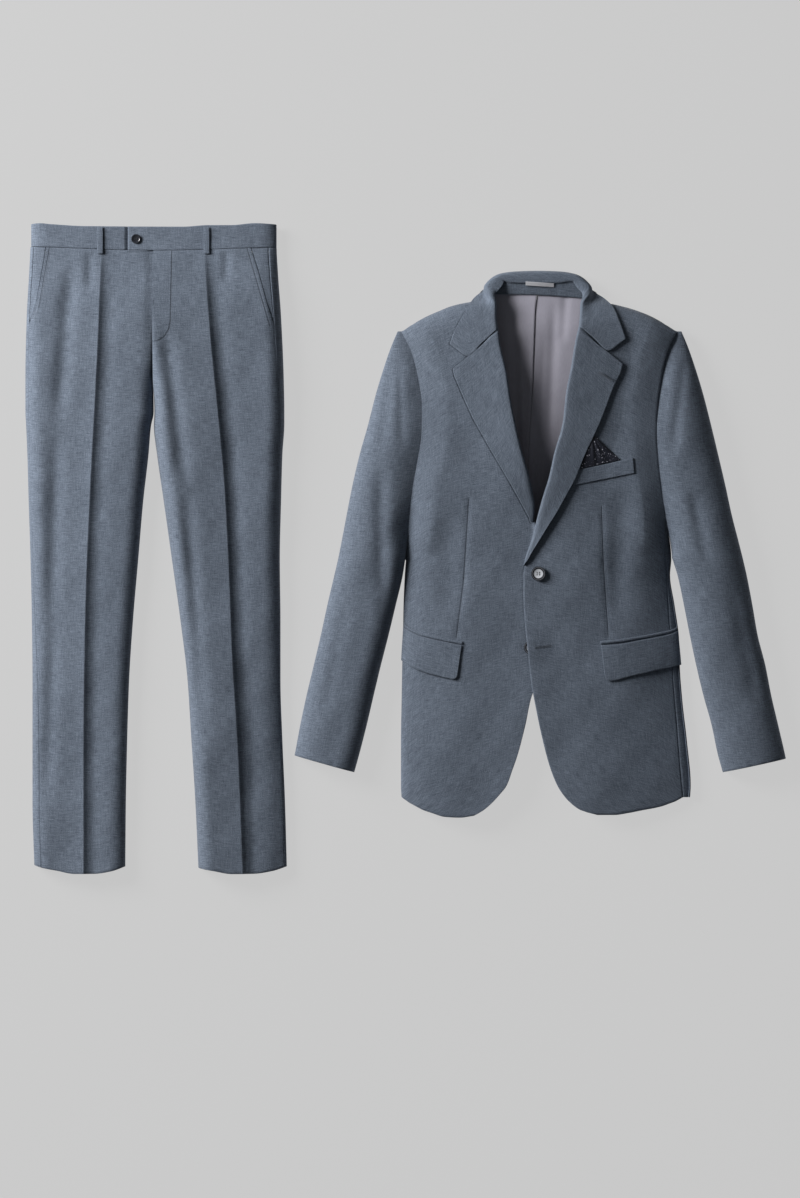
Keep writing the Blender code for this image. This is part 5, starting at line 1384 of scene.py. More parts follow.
def flap(side, material):
    """A pocket flap with its rounded free corner, on the front moved out."""
    name = SIDE_NAMES[side]
    share = np.concatenate([
        np.linspace(0, 0.2, 14), np.linspace(0.2, 0.85, 34)[1:], np.linspace(0.85, 1, 16)[1:]])
    upper = along(FLAP_TOPS[name], "across", "down", share)
    lower = along(FLAP_BOTTOMS[name], "across", "down", share)
    fall = np.linspace(0, 1, 22)
    plan = np.stack([upper + (lower - upper) * s for s in fall])
    points, normals = lift(plan, jacket_top)
    wave = 0.7 + 0.3 * np.sin(share * 5.1)
    stand = FLAP_GAP + CLOTH + FLAP_LIFT * ramp(fall * 1.2)[:, None] * wave
    points = points + normals * stand[..., None]
    return shell("flap_cloth_" + name, points, normals, CLOTH, JACKET_PLACE, material)


def jet(side, material):
    """The narrow jet above a pocket flap."""
    name = SIDE_NAMES[side]
    middle = along(JETS[name], "across", "down", np.linspace(0, 1, 60))
    offsets = np.array([-2.4, -2.0, -1.2, -0.2, 0.8, 1.7, 2.2])
    crown = JET * 0.3 * np.array([-1, -0.3, 0.6, 1, 0.6, -0.3, -1])
    plan = np.stack([middle + (0, offset) for offset in offsets])
    points, normals = lift(plan, jacket_top)
    points = points + normals * (JET_GAP + JET + crown)[:, None, None]
    return shell("jet_cloth_" + name, points, normals, JET, JACKET_PLACE, material)


def hanger_loop(material):
    """The narrow satin loop across the back of the neck, a little twisted."""
    shares = np.linspace(0, 1, 60)
    across = -16 + 44 * shares
    middle = 20.2 + 2.8 * shares
    stand = 2.6 - 1.1 * shares + 0.9 * np.sin(shares * math.pi)
    tilt = 0.5 - 0.1 * shares
    rows = []
    for offset in np.linspace(-2.9, 2.9, 9):
        z = neck_height(middle) + stand - tilt * offset
        rows.append(stacked(across, middle + offset, z))
    points = np.stack(rows)
    normals = grid_normals(points, (0, 3))
    return shell("hanger_ribbon", points, normals, LINING, JACKET_PLACE, material)


def seat(height, centre, radius):
    """The lowest level at which a flat disc clears a surface."""
    turns = np.linspace(0, math.tau, 25)
    reach = np.linspace(0, radius, 5)[:, None]
    return float(np.max(height(centre[0] + reach * np.cos(turns), centre[1] + reach * np.sin(turns)))) + SEAM


def alone(piece):
    """Make one object the only one selected, and the active one."""
    bpy.ops.object.select_all(action="DESELECT")
    piece.select_set(True)
    bpy.context.view_layer.objects.active = piece


def turned_button(name, place, centre, base, radius, thick, material):
    """A button turned from a disc: raised rim, dished middle and four holes."""
    where = Vector(((place[0] + centre[0]) * MM, (place[1] - centre[1]) * MM, base * MM))
    bpy.ops.object.select_all(action="DESELECT")
    bpy.ops.mesh.primitive_circle_add(
        vertices=64, radius=radius * BUTTON_FOOT * MM, fill_type="NGON", location=where)
    button = bpy.context.object
    button.name = name
    bpy.ops.object.mode_set(mode="EDIT")
    bpy.ops.mesh.select_all(action="SELECT")
    bpy.ops.mesh.extrude_region_move(TRANSFORM_OT_translate={"value": (0, 0, 0.3 * thick * MM)})
    grow = 1 / BUTTON_FOOT
    bpy.ops.transform.resize(value=(grow, grow, 1), center_override=where)
    for rise, scale in BUTTON_STEPS:
        bpy.ops.mesh.extrude_region_move(TRANSFORM_OT_translate={"value": (0, 0, rise * thick * MM)})
        bpy.ops.transform.resize(value=(scale, scale, 1), center_override=where)
    bpy.ops.mesh.select_all(action="SELECT")
    bpy.ops.mesh.normals_make_consistent(inside=False)
    bpy.ops.object.mode_set(mode="OBJECT")
    for x, y in HOLE_PLACES:
        spot = where + Vector((x, y, 0)) * HOLE_SPREAD * radius * MM
        bpy.ops.mesh.primitive_cylinder_add(
            vertices=20, radius=HOLE_RADIUS * radius * MM, depth=4 * thick * MM, location=spot)
        drill = bpy.context.object
        alone(button)
        hole = button.modifiers.new("hole", "BOOLEAN")
        hole.operation = "DIFFERENCE"
        hole.object = drill
        bpy.ops.object.modifier_apply(modifier=hole.name)
        bpy.data.objects.remove(drill)
    alone(button)
    rounded = button.modifiers.new("rounded edges", "BEVEL")
    rounded.width = 0.05 * thick * MM
    rounded.segments = 2
    rounded.limit_method = "ANGLE"
    rounded.angle_limit = math.radians(35)
    bpy.ops.object.modifier_apply(modifier=rounded.name)
    bpy.ops.object.transform_apply(location=True, rotation=True, scale=True)
    bpy.ops.object.shade_smooth_by_angle(angle=math.radians(40))
    button.data.materials.append(material)
    return button


def grain_model():
    """One stitch: a short round-ended grain, modelled once and copied for each stitch."""
    bpy.ops.object.select_all(action="DESELECT")
    bpy.ops.mesh.primitive_uv_sphere_add(segments=6, ring_count=4, radius=1.0)
    grain = bpy.context.object
    points = np.array([v.co[:] for v in grain.data.vertices])
    faces = [tuple(p.vertices) for p in grain.data.polygons]
    bpy.data.objects.remove(grain)
    return points[:, [2, 0, 1]], faces


def stitches(name, grain, place, middles, ways, length, width, material, height=0.7):
    """Grains with given middles and directions, joined into one piece."""
    points, faces = grain
    ups = np.zeros_like(ways)
    ups[:, 2] = 1.0
    sides = np.cross(ups, ways)
    sides = unit(sides)
    ups = np.cross(ways, sides)
    scaled = points * np.array([length, width, width * height]) / 2
    local = (middles[:, None] + scaled[:, 0][None, :, None] * ways[:, None]
             + scaled[:, 1][None, :, None] * sides[:, None] + scaled[:, 2][None, :, None] * ups[:, None])
    everything = []
    for number in range(len(middles)):
        everything += [tuple(k + number * len(points) for k in face) for face in faces]
    mesh = bpy.data.meshes.new(name)
    mesh.from_pydata(world(place, local.reshape(-1, 3)).tolist(), [], everything)
    mesh.shade_smooth()
    mesh.materials.append(material)
    piece = bpy.data.objects.new(name, mesh)
    bpy.context.collection.objects.link(piece)
    alone(piece)
    bpy.ops.object.mode_set(mode="EDIT")
    bpy.ops.mesh.select_all(action="SELECT")
    bpy.ops.mesh.normals_make_consistent(inside=False)
    bpy.ops.object.mode_set(mode="OBJECT")
    return piece


def sewn_path(plan, height, pitch, stand):
    """Middles and directions of stitches at an even pitch along a plan path."""
    plan = np.asarray(plan, dtype=float)
    steps = np.linalg.norm(np.diff(plan, axis=0), axis=1)
    length = np.concatenate([[0.0], np.cumsum(steps)])
    at = np.arange(pitch / 2, length[-1], pitch)
    spot = stacked(np.interp(at, length, plan[:, 0]), np.interp(at, length, plan[:, 1]))
    ahead, behind = (
        np.stack([np.interp(at + step, length, plan[:, axis]) for axis in (0, 1)], axis=-1)
        for step in (0.5, -0.5))
    tops = [height(p[:, 0], p[:, 1]) for p in (behind, spot, ahead)]
    ways = at_height(ahead - behind, tops[2] - tops[0])
    ways = unit(ways)
    return at_height(spot, tops[1] + stand), ways


def crossing(middles, ways, offset):
    """The same places moved sideways, with directions that cross the path."""
    sides = stacked(-ways[:, 1], ways[:, 0], np.zeros(len(ways)))
    sides = unit(sides)
    return middles + sides * offset, sides


def trouser_seams(height):
    """Plan paths of the trousers' visible stitching."""
    downs = spread(44, 150, 2)
    paths = []
    for side in (-1, 1):
        mouth = trouser_lines(side, downs)[3]
        for inset in POCKET_STITCH_INSETS:
            paths.append(stacked(mouth - side * inset, downs))
    turn = np.linspace(0, math.pi / 2, 24)
    curve = stacked(
        FLY_CORNER[0] * np.cos(turn) + 0.5, FLY_CORNER[1] + FLY_CORNER[2] * np.sin(turn))
    start = np.array([[FLY_TOP[0], FLY_TOP[1]]])
    paths.append(np.concatenate([start, curve]))
    return [sewn_path(path, height, STITCH_PITCH, 0.05) for path in paths]


def buttonhole(grain, name, place, start, end, height, material):
    """A worked buttonhole: a row of cross stitches along each side of its slit."""
    middles, ways = sewn_path([start, end], height, 0.75, 0.12)
    parts = [crossing(middles, ways, offset) for offset in (-0.95, 0.95)]
    places = np.concatenate([part[0] for part in parts])
    across = np.concatenate([part[1] for part in parts])
    return stitches(name, grain, place, places, across, 1.7, 0.62, material)


def add_node(tree, kind, inputs=None, **settings):
    """A shader node with its settings, its input values and its links."""
    made = tree.nodes.new(kind)
    for key, value in settings.items():
        setattr(made, key, value)
    for key, value in (inputs or {}).items():
        if isinstance(value, bpy.types.NodeSocket):
            tree.links.new(value, made.inputs[key])
        else:
            made.inputs[key].default_value = value
    return made


def calculate(tree, operation, first, second=0.0, third=0.0):
    """A maths node's output."""
    return add_node(tree, "ShaderNodeMath", {0: first, 1: second, 2: third}, operation=operation).outputs[0]


def vector_maths(tree, operation, first, second=None):
    """A vector maths node."""
    inputs = {0: first} if second is None else {0: first, 1: second}
    return add_node(tree, "ShaderNodeVectorMath", inputs, operation=operation)


def blended(tree, share, first, second):
    """Two colours mixed by a share."""
    made = add_node(tree, "ShaderNodeMix", data_type="RGBA")
    for socket, value in ((made.inputs[0], share), (made.inputs[6], first), (made.inputs[7], second)):
        if isinstance(value, bpy.types.NodeSocket):
            tree.links.new(value, socket)
        else:
            socket.default_value = value
    return made.outputs[2]


def new_group(name, inputs, outputs):
    """A node group with its sockets, its input node and its output node."""
    group = bpy.data.node_groups.new(name, "ShaderNodeTree")
    for direction, sockets in (("INPUT", inputs), ("OUTPUT", outputs)):
        for label, kind in sockets:
            group.interface.new_socket(name=label, in_out=direction, socket_type=kind)
    return group, group.nodes.new("NodeGroupInput"), group.nodes.new("NodeGroupOutput")


def streaks(tree, vector, scale_across, scale_down, detail):
    """Noise drawn out along one thread direction."""
    mapped = add_node(tree, "ShaderNodeMapping", {"Vector": vector, "Scale": (scale_across, scale_down, 1.0)})
    noise = add_node(
        tree, "ShaderNodeTexNoise", {"Vector": mapped.outputs[0], "Scale": 1.0, "Detail": detail})
    return noise.outputs[0]


def worsted_group():
    """Mottled worsted: fine fibres, slubs along both threads, and broad changes of tone."""
    group, given, result = new_group(
        "mottled worsted",
        [("Cloth", "NodeSocketVector"), ("Dark", "NodeSocketColor"), ("Light", "NodeSocketColor"),
         ("Contrast", "NodeSocketFloat")],
        [("Color", "NodeSocketColor"), ("Height", "NodeSocketFloat"), ("Roughness", "NodeSocketFloat")],
    )
    cloth = given.outputs["Cloth"]
    fibres = add_node(
        group, "ShaderNodeTexNoise", {"Vector": cloth, "Scale": FIBRES, "Detail": 2.0}).outputs[0]
    weft = streaks(group, cloth, WEFT_LONG, YARN_FINE, 1.0)
    warp = streaks(group, cloth, YARN_FINE, WARP_LONG, 1.0)
    broad = add_node(
        group, "ShaderNodeTexNoise", {"Vector": cloth, "Scale": CLOUDS, "Detail": 2.0}).outputs[0]
    tone = calculate(group, "MULTIPLY_ADD", weft, 0.34, calculate(group, "MULTIPLY", warp, 0.24))
    tone = calculate(group, "MULTIPLY_ADD", fibres, 0.42, tone)
    tone = calculate(group, "SUBTRACT", tone, 0.5)
    tone = calculate(group, "MULTIPLY_ADD", tone, given.outputs["Contrast"], 0.5)
    tone = calculate(group, "MULTIPLY_ADD", calculate(group, "SUBTRACT", broad, 0.5), 0.3, tone)
    share = add_node(group, "ShaderNodeClamp", {0: tone}).outputs[0]
    colour = blended(group, share, given.outputs["Dark"], given.outputs["Light"])
    apart = add_node(group, "ShaderNodeSeparateXYZ", {0: cloth})
    thread = math.tau / (THREAD * MM)
    across = calculate(group, "SINE", calculate(group, "MULTIPLY", apart.outputs[0], thread))
    down = calculate(group, "SINE", calculate(group, "MULTIPLY", apart.outputs[1], thread))
    weave = calculate(group, "MULTIPLY", across, down)
    height = calculate(group, "MULTIPLY_ADD", weave, 0.25, tone)
    group.links.new(colour, result.inputs["Color"])
    group.links.new(height, result.inputs["Height"])
    group.links.new(calculate(group, "MULTIPLY_ADD", share, -0.12, 0.92), result.inputs["Roughness"])
    return group


def seam_and_shadow_line_group():
    """A narrow mask along a straight line in the plan, from one place to another, for seam lines and painted
    shadow lines.
    """
    group, given, result = new_group(
        "seam and shadow line",
        [("Place", "NodeSocketVector"), ("Start", "NodeSocketVector"), ("End", "NodeSocketVector"),
         ("Width", "NodeSocketFloat")],
        [("Mask", "NodeSocketFloat")],
    )
    start = given.outputs["Start"]
    level = vector_maths(group, "MULTIPLY", given.outputs["Place"], (1.0, 1.0, 0.0)).outputs[0]
    run = vector_maths(group, "SUBTRACT", given.outputs["End"], start).outputs[0]
    away = vector_maths(group, "SUBTRACT", level, start).outputs[0]
    top = vector_maths(group, "DOT_PRODUCT", away, run).outputs["Value"]
    share = calculate(group, "DIVIDE", top, vector_maths(group, "DOT_PRODUCT", run, run).outputs["Value"])
    share = add_node(group, "ShaderNodeClamp", {0: share}).outputs[0]
    near = add_node(group, "ShaderNodeVectorMath", {0: run, "Scale": share}, operation="SCALE").outputs[0]
    past = vector_maths(group, "SUBTRACT", away, near).outputs[0]
    distance = vector_maths(group, "LENGTH", past).outputs["Value"]
    gone = calculate(group, "DIVIDE", distance, given.outputs["Width"])
    mask = calculate(group, "SUBTRACT", 1.0, add_node(group, "ShaderNodeClamp", {0: gone}).outputs[0])
    group.links.new(calculate(group, "SMOOTH_MIN", mask, 1.0, 0.1), result.inputs["Mask"])
    return group


def fresh_material(name, roughness):
    """An empty Principled material, its tree and its shader."""
    material = bpy.data.materials.new(name)
    material.use_nodes = True
    shader = material.node_tree.nodes["Principled BSDF"]
    shader.inputs["Roughness"].default_value = roughness
    return material, material.node_tree, shader


def suit_cloth(name, groups, settings, sewn):
    """The suit's mottled wool, with the dark lines of a panel that has them: seams, and painted shadow along
    edges.
    """
    material, tree, shader = fresh_material(name, 0.85)
    cloth = add_node(tree, "ShaderNodeUVMap", uv_map="cloth").outputs[0]
    wool = tree.nodes.new("ShaderNodeGroup")
    wool.node_tree = groups["worsted"]
    tree.links.new(cloth, wool.inputs["Cloth"])
    wool.inputs["Dark"].default_value = (*settings.yarn_dark, 1.0)
    wool.inputs["Light"].default_value = (*settings.yarn_light, 1.0)
    wool.inputs["Contrast"].default_value = settings.contrast
    colour = wool.outputs["Color"]
    height = wool.outputs["Height"]
    place = add_node(tree, "ShaderNodeTexCoord").outputs["Object"]
    where, line_width, lines = sewn
    # Each line mixes the colour towards the dark line colour and presses a shallow groove into the bump.
    # Along the lapel, collar and tab edges this is painted shadow. Elsewhere the lines are seams, with
    # painted shade in the dart grooves.
    for start, end in lines:
        line = tree.nodes.new("ShaderNodeGroup")
        line.node_tree = groups["seam"]
        tree.links.new(place, line.inputs["Place"])
        first, last = (world(where, (*spot, 0.0)) for spot in (start, end))
        line.inputs["Start"].default_value = first
        line.inputs["End"].default_value = last
        line.inputs["Width"].default_value = line_width * MM
        mask = line.outputs["Mask"]
        colour = blended(tree, calculate(tree, "MULTIPLY", mask, 0.6), colour, (*settings.seam_and_shadow_colour, 1.0))
        height = calculate(tree, "MULTIPLY_ADD", mask, -2.5, height)
    bump = add_node(
        tree, "ShaderNodeBump", {"Height": height, "Strength": 0.8, "Distance": settings.weave_depth})
    tree.links.new(colour, shader.inputs["Base Color"])
    tree.links.new(wool.outputs["Roughness"], shader.inputs["Roughness"])
    tree.links.new(bump.outputs[0], shader.inputs["Normal"])
    shader.inputs["Sheen Weight"].default_value = 0.12
    shader.inputs["Sheen Roughness"].default_value = 0.4
    shader.inputs["Specular IOR Level"].default_value = 0.25
    return material


def satin(name, dark, light, roughness, scales):
    """Satin: fine threads one way, and a soft change of tone."""
    material, tree, shader = fresh_material(name, roughness)
    cloth = add_node(tree, "ShaderNodeUVMap", uv_map="cloth").outputs[0]
    threads = streaks(tree, cloth, scales[0], scales[1], 2.0)
    broad = add_node(
        tree, "ShaderNodeTexNoise", {"Vector": cloth, "Scale": SATIN_CLOUDS, "Detail": 2.0}).outputs[0]
    tone = calculate(tree, "MULTIPLY_ADD", threads, 0.5, calculate(tree, "MULTIPLY", broad, 0.5))
    tree.links.new(blended(tree, tone, (*dark, 1.0), (*light, 1.0)), shader.inputs["Base Color"])
    bump = add_node(tree, "ShaderNodeBump", {"Height": threads, "Strength": 0.5, "Distance": 0.00005})
    tree.links.new(bump.outputs[0], shader.inputs["Normal"])
    shader.inputs["Sheen Weight"].default_value = 0.1
    return material


def silk_square(name, settings):
    """Dark navy silk with a small light pattern of scattered petals."""
    material, tree, shader = fresh_material(name, 0.5)
    cloth = add_node(tree, "ShaderNodeUVMap", uv_map="cloth").outputs[0]
    cells = add_node(tree, "ShaderNodeTexVoronoi", {"Vector": cloth, "Scale": PETALS[0], "Randomness": 0.9})
    small = add_node(tree, "ShaderNodeTexVoronoi", {"Vector": cloth, "Scale": SPECKS[0], "Randomness": 1.0})
    petals = calculate(tree, "LESS_THAN", cells.outputs["Distance"], PETALS[1])
    specks = calculate(tree, "LESS_THAN", small.outputs["Distance"], SPECKS[1])
    mask = calculate(tree, "MAXIMUM", petals, calculate(tree, "MULTIPLY", specks, 0.7))
    ground = (*settings.square_ground, 1.0)
    tree.links.new(blended(tree, mask, ground, (*settings.square_print, 1.0)), shader.inputs["Base Color"])
    shader.inputs["Sheen Weight"].default_value = 0.15
    return material


def horn(name, settings, radius, centres):
    """Polished horn: dark, with a painted reflection in the dish and a painted highlight ring near the rim
    where a centre is given, and faint streaks.
    """
    material, tree, shader = fresh_material(name, 0.16)
    place = add_node(tree, "ShaderNodeTexCoord").outputs["Object"]
    cloud = add_node(
        tree, "ShaderNodeTexNoise", {"Vector": place, "Scale": HORN_CLOUDS, "Detail": 4.0}).outputs[0]
    dark = (*settings.button_dark, 1.0)
    colour = blended(tree, cloud, dark, (*settings.button_streak, 1.0))
    for centre in centres:
        away = vector_maths(tree, "SUBTRACT", place, centre).outputs[0]
        level = vector_maths(tree, "MULTIPLY", away, (1.0, 1.0, 0.0)).outputs[0]
        reach = vector_maths(tree, "LENGTH", level).outputs["Value"]
        edge = add_node(tree, "ShaderNodeMapRange", {
            0: reach, 1: radius * DISC_SHARES[0], 2: radius * DISC_SHARES[1], 3: 1.0, 4: 0.0})
        # The pale middle of the dish is a painted reflection.
        dish_reflection = blended(tree, cloud, (*settings.dish_reflection_dark, 1.0), (*settings.dish_reflection_light, 1.0))
        colour = blended(tree, edge.outputs[0], colour, dish_reflection)
        # A thin lighter ring near the rim: a painted highlight.
        highlight_ring = calculate(tree, "ABSOLUTE", calculate(tree, "SUBTRACT", reach, radius * RIM_HIGHLIGHT_PLACE))
        highlight_ring = calculate(tree, "LESS_THAN", highlight_ring, radius * RIM_HIGHLIGHT_HALF)
        colour = blended(tree, highlight_ring, colour, (*settings.button_rim_highlight, 1.0))
    tree.links.new(colour, shader.inputs["Base Color"])
    wear = calculate(tree, "MULTIPLY_ADD", cloud, 0.16, 0.12)
    tree.links.new(wear, shader.inputs["Roughness"])
    shader.inputs["Coat Weight"].default_value = 0.4
    return material


def thread_finish(name, colour):
    """Sewing thread, twisted and slightly glossy."""
    material, tree, shader = fresh_material(name, 0.6)
    place = add_node(tree, "ShaderNodeTexCoord").outputs["Object"]
    twist = add_node(
        tree, "ShaderNodeTexNoise", {"Vector": place, "Scale": THREAD_TWIST, "Detail": 2.0}).outputs[0]
    dark = tuple(0.6 * part for part in colour)
    tree.links.new(blended(tree, twist, (*dark, 1.0), (*colour, 1.0)), shader.inputs["Base Color"])
    bump = add_node(tree, "ShaderNodeBump", {"Height": twist, "Strength": 0.6, "Distance": 0.0001})
    tree.links.new(bump.outputs[0], shader.inputs["Normal"])
    return material


def floor_finish(name, colour, glow):
    """A plain pale studio floor that keeps only faint shadows."""
    material, tree, shader = fresh_material(name, 0.9)
    place = add_node(tree, "ShaderNodeTexCoord").outputs["Object"]
    paper = add_node(
        tree, "ShaderNodeTexNoise", {"Vector": place, "Scale": PAPER_GRAIN, "Detail": 3.0}).outputs[0]
    low = tuple(part * 0.995 for part in colour)
    tree.links.new(blended(tree, paper, (*low, 1.0), (*colour, 1.0)), shader.inputs["Base Color"])
    shader.inputs["Emission Color"].default_value = (1.0, 1.0, 1.0, 1.0)
    shader.inputs["Emission Strength"].default_value = glow
    shader.inputs["Specular IOR Level"].default_value = 0.1
    return material


def lapel_height(across, down):
    """Height of the left lapel's upper face."""
    raised = roll_raise(np.stack(np.broadcast_arrays(across, down), axis=-1).astype(float))
    return jacket_top(across, down) + raised + LAPEL_CLEAR + CLOTH + LAPEL_HOLE_LIFT


HEIGHTS = {"lapel": lapel_height, "front": left_front_top}


class SuitCloth(bpy.types.PropertyGroup):
    """Colours and weave of the cloth, and the finishes of the small parts."""

    yarn_dark: bpy.props.FloatVectorProperty(
        name="Dark yarn", description="Darker colour of the mottled wool",
        default=(0.058, 0.072, 0.096), min=0, max=1, subtype="COLOR")
    yarn_light: bpy.props.FloatVectorProperty(
        name="Light yarn", description="Lighter colour of the mottled wool",
        default=(0.190, 0.226, 0.284), min=0, max=1, subtype="COLOR")
    contrast: bpy.props.FloatProperty(
        name="Mottling", description="How far the yarns differ", default=3.2, min=0, max=5, subtype="FACTOR")
    # Dark line colour: seams, and painted shadow along the lapel, collar and waistband tab edges.
    seam_and_shadow_colour: bpy.props.FloatVectorProperty(
        name="Seam shade", description="Colour in the bottom of a seam and shadow line",
        default=(0.018, 0.022, 0.030), min=0, max=1, subtype="COLOR")
    weave_depth: bpy.props.FloatProperty(
        name="Weave depth", description="Depth of the weave's relief", default=0.00022, unit="LENGTH")
    lining_dark: bpy.props.FloatVectorProperty(
        name="Lining shade", description="Darker colour of the lining",
        default=(0.26, 0.25, 0.295), min=0, max=1, subtype="COLOR")
    lining_light: bpy.props.FloatVectorProperty(
        name="Lining light", description="Lighter colour of the lining",
        default=(0.42, 0.405, 0.47), min=0, max=1, subtype="COLOR")
    square_ground: bpy.props.FloatVectorProperty(
        name="Square ground", description="Ground colour of the pocket square",
        default=(0.006, 0.008, 0.018), min=0, max=1, subtype="COLOR")
    square_print: bpy.props.FloatVectorProperty(
        name="Square pattern", description="Colour of the pocket square's small pattern",
        default=(0.62, 0.62, 0.72), min=0, max=1, subtype="COLOR")
    button_dark: bpy.props.FloatVectorProperty(
        name="Button", description="Main colour of the buttons",
        default=(0.010, 0.011, 0.015), min=0, max=1, subtype="COLOR")
    button_streak: bpy.props.FloatVectorProperty(
        name="Button streaks", description="Colour of the streaks in the buttons",
        default=(0.03, 0.032, 0.04), min=0, max=1, subtype="COLOR")
    # Colour of the painted highlight ring round a front button's rim.
    button_rim_highlight: bpy.props.FloatVectorProperty(
        name="Button rim", description="Colour of the fine worn line round a front button",
        default=(0.12, 0.125, 0.14), min=0, max=1, subtype="COLOR")
    # The pale middle of the front buttons is a painted reflection.
    dish_reflection_dark: bpy.props.FloatVectorProperty(
        name="Button dish shade", description="Darker colour of the front buttons' middle",
        default=(0.42, 0.44, 0.48), min=0, max=1, subtype="COLOR")
    dish_reflection_light: bpy.props.FloatVectorProperty(
        name="Button dish", description="Lighter colour of the front buttons' middle",
        default=(0.80, 0.82, 0.86), min=0, max=1, subtype="COLOR")
    thread: bpy.props.FloatVectorProperty(
        name="Thread", description="Colour of the sewing thread",
        default=(0.045, 0.054, 0.072), min=0, max=1, subtype="COLOR")
    buttonhole_thread: bpy.props.FloatVectorProperty(
        name="Buttonhole thread", description="Colour of the buttonholes' silk",
        default=(0.082, 0.098, 0.126), min=0, max=1, subtype="COLOR")


class SuitSizes(bpy.types.PropertyGroup):
    """Fineness of the panels."""

    grid_step: bpy.props.FloatProperty(
        name="Grid step", description="Spacing of a panel's points down its length",
        default=0.004, min=0.001, max=0.02, unit="LENGTH")


class StudioStage(bpy.types.PropertyGroup):
    """The floor, the lights and the camera."""

    floor_colour: bpy.props.FloatVectorProperty(
        name="Floor", description="Colour of the floor", default=(0.05, 0.05, 0.05), min=0, max=1,
        subtype="COLOR")
    floor_glow: bpy.props.FloatProperty(
        name="Floor glow", description="Light that the floor gives by itself", default=0.555, min=0, max=5)
    key_power: bpy.props.FloatProperty(
        name="Key light", description="Power of the soft light at the upper left, in watts",
        default=275.0, min=0, max=900)
    key_place: bpy.props.FloatVectorProperty(
        name="Key place", description="Where the key light hangs", default=(-3.2, 1.6, 1.7),
        subtype="TRANSLATION", unit="LENGTH")
    key_size: bpy.props.FloatProperty(
        name="Key size", description="Width of the key light", default=1.7, min=0.01, unit="LENGTH")
    fill_power: bpy.props.FloatProperty(
        name="Fill light", description="Strength of the light from all round", default=0.085, min=0, max=5)
    camera_distance: bpy.props.FloatProperty(
        name="Camera distance", description="Height of the camera above the floor", default=8.0,
        unit="LENGTH")
    frame_height: bpy.props.FloatProperty(
        name="Frame height", description="Length of floor that the photo's height takes in",
        default=1.857, unit="LENGTH")


def step_mm():
    """Grid step of the panels in millimetres."""
    return bpy.context.scene.suit_sizes.grid_step / MM


def cloth_of(kind="plain"):
    """One of the cloth materials, made the first time that it is asked for."""
    name = "suit_cloth_" + kind
    found = bpy.data.materials.get(name)
    if found is not None:
        return found
    groups = {}
    effects = (("worsted", "mottled worsted", worsted_group), ("seam", "seam and shadow line", seam_and_shadow_line_group))
    for key, label, maker in effects:
        groups[key] = bpy.data.node_groups.get(label) or maker()
    # The panel's dark lines: seams, and painted shadow lines along edges.
    sewn = SEAM_AND_SHADOW_LINES.get(kind, (JACKET_PLACE, 1.0, ()))
    return suit_cloth(name, groups, bpy.context.scene.suit_cloth, sewn)


class SUIT_OT_trousers(bpy.types.Operator):
    """Front and back panels, pocket facings, waistband and belt loops"""

    bl_idname = "suit.trousers"
    bl_label = "Trousers"

    def execute(self, context):
        step = step_mm()
        cloth = cloth_of()
        for side, name in SIDE_NAMES.items():
            lay(trouser_back(side, step, cloth), "trouser_back_" + name)
            front = trouser_front(side, step, cloth_of("trouser_" + name))
            lay(front, "trouser_front_" + name)
            facing = pocket_facing(side, step, cloth)
            lay(facing, "pocket_facing_" + name)
            lay(waistband_front(side, step, cloth), "waistband_" + name)
            lay(belt_loop(side, cloth), "belt_loop_" + name)
        lay(waistband_back(cloth), "waistband_back")
        return {"FINISHED"}


class SUIT_OT_jacket_body(bpy.types.Operator):
    """Fronts, side panels and backs of the jacket"""

    bl_idname = "suit.jacket_body"
    bl_label = "Jacket body"

    def execute(self, context):
        step = step_mm()
        for side, name in SIDE_NAMES.items():
            lay(jacket_back(side, step, cloth_of()), "jacket_back_" + name)
            lay(jacket_side(side, step, cloth_of()), "jacket_side_" + name)
            front = jacket_front(side, step * 0.9, cloth_of("front_" + name))
            lay(front, "jacket_front_" + name)
        return {"FINISHED"}


class SUIT_OT_sleeves(bpy.types.Operator):
    """Upper and under halves of both sleeves"""

    bl_idname = "suit.sleeves"
    bl_label = "Sleeves"

    def execute(self, context):
        step = step_mm()
        for side, name in SIDE_NAMES.items():
            lay(under_sleeve(side, step, cloth_of()), "under_sleeve_" + name)
            upper = upper_sleeve(side, step, cloth_of())
            lay(upper, "upper_sleeve_" + name)
        return {"FINISHED"}


class SUIT_OT_collar(bpy.types.Operator):
    """Lapels, collar, stand, neck lining and hanger loop"""

    bl_idname = "suit.collar"
    bl_label = "Collar and lapels"

    def execute(self, context):
        settings = context.scene.suit_cloth
        for side, name in SIDE_NAMES.items():
            lay(lapel(side, cloth_of()), "lapel_" + name)
        lay(collar_leaf(cloth_of()), "collar_leaf")
        lay(collar_stand(cloth_of()), "collar_stand")
        lining = satin("satin_lining", settings.lining_dark, settings.lining_light, 0.42, (900.0, 120.0))
        for side, name in SIDE_NAMES.items():
            half = lining_back(side, step_mm(), lining)
            lay(half, "lining_back_" + name)
        silver = satin("satin_ribbon", RIBBON_DARK, RIBBON_LIGHT, 0.3, (260.0, 900.0))
        lay(hanger_loop(silver), "hanger_loop")
        return {"FINISHED"}


class SUIT_OT_pockets(bpy.types.Operator):
    """Breast welt, pocket square, jets and flaps"""

    bl_idname = "suit.pockets"
    bl_label = "Pockets"

    def execute(self, context):
        lay(breast_welt(cloth_of()), "breast_welt")
        silk = silk_square("silk_square", context.scene.suit_cloth)
        lay(pocket_square(silk), "pocket_square")
        for side, name in SIDE_NAMES.items():
            lay(jet(side, cloth_of()), "jet_" + name)
            lay(flap(side, cloth_of()), "flap_" + name)
        return {"FINISHED"}


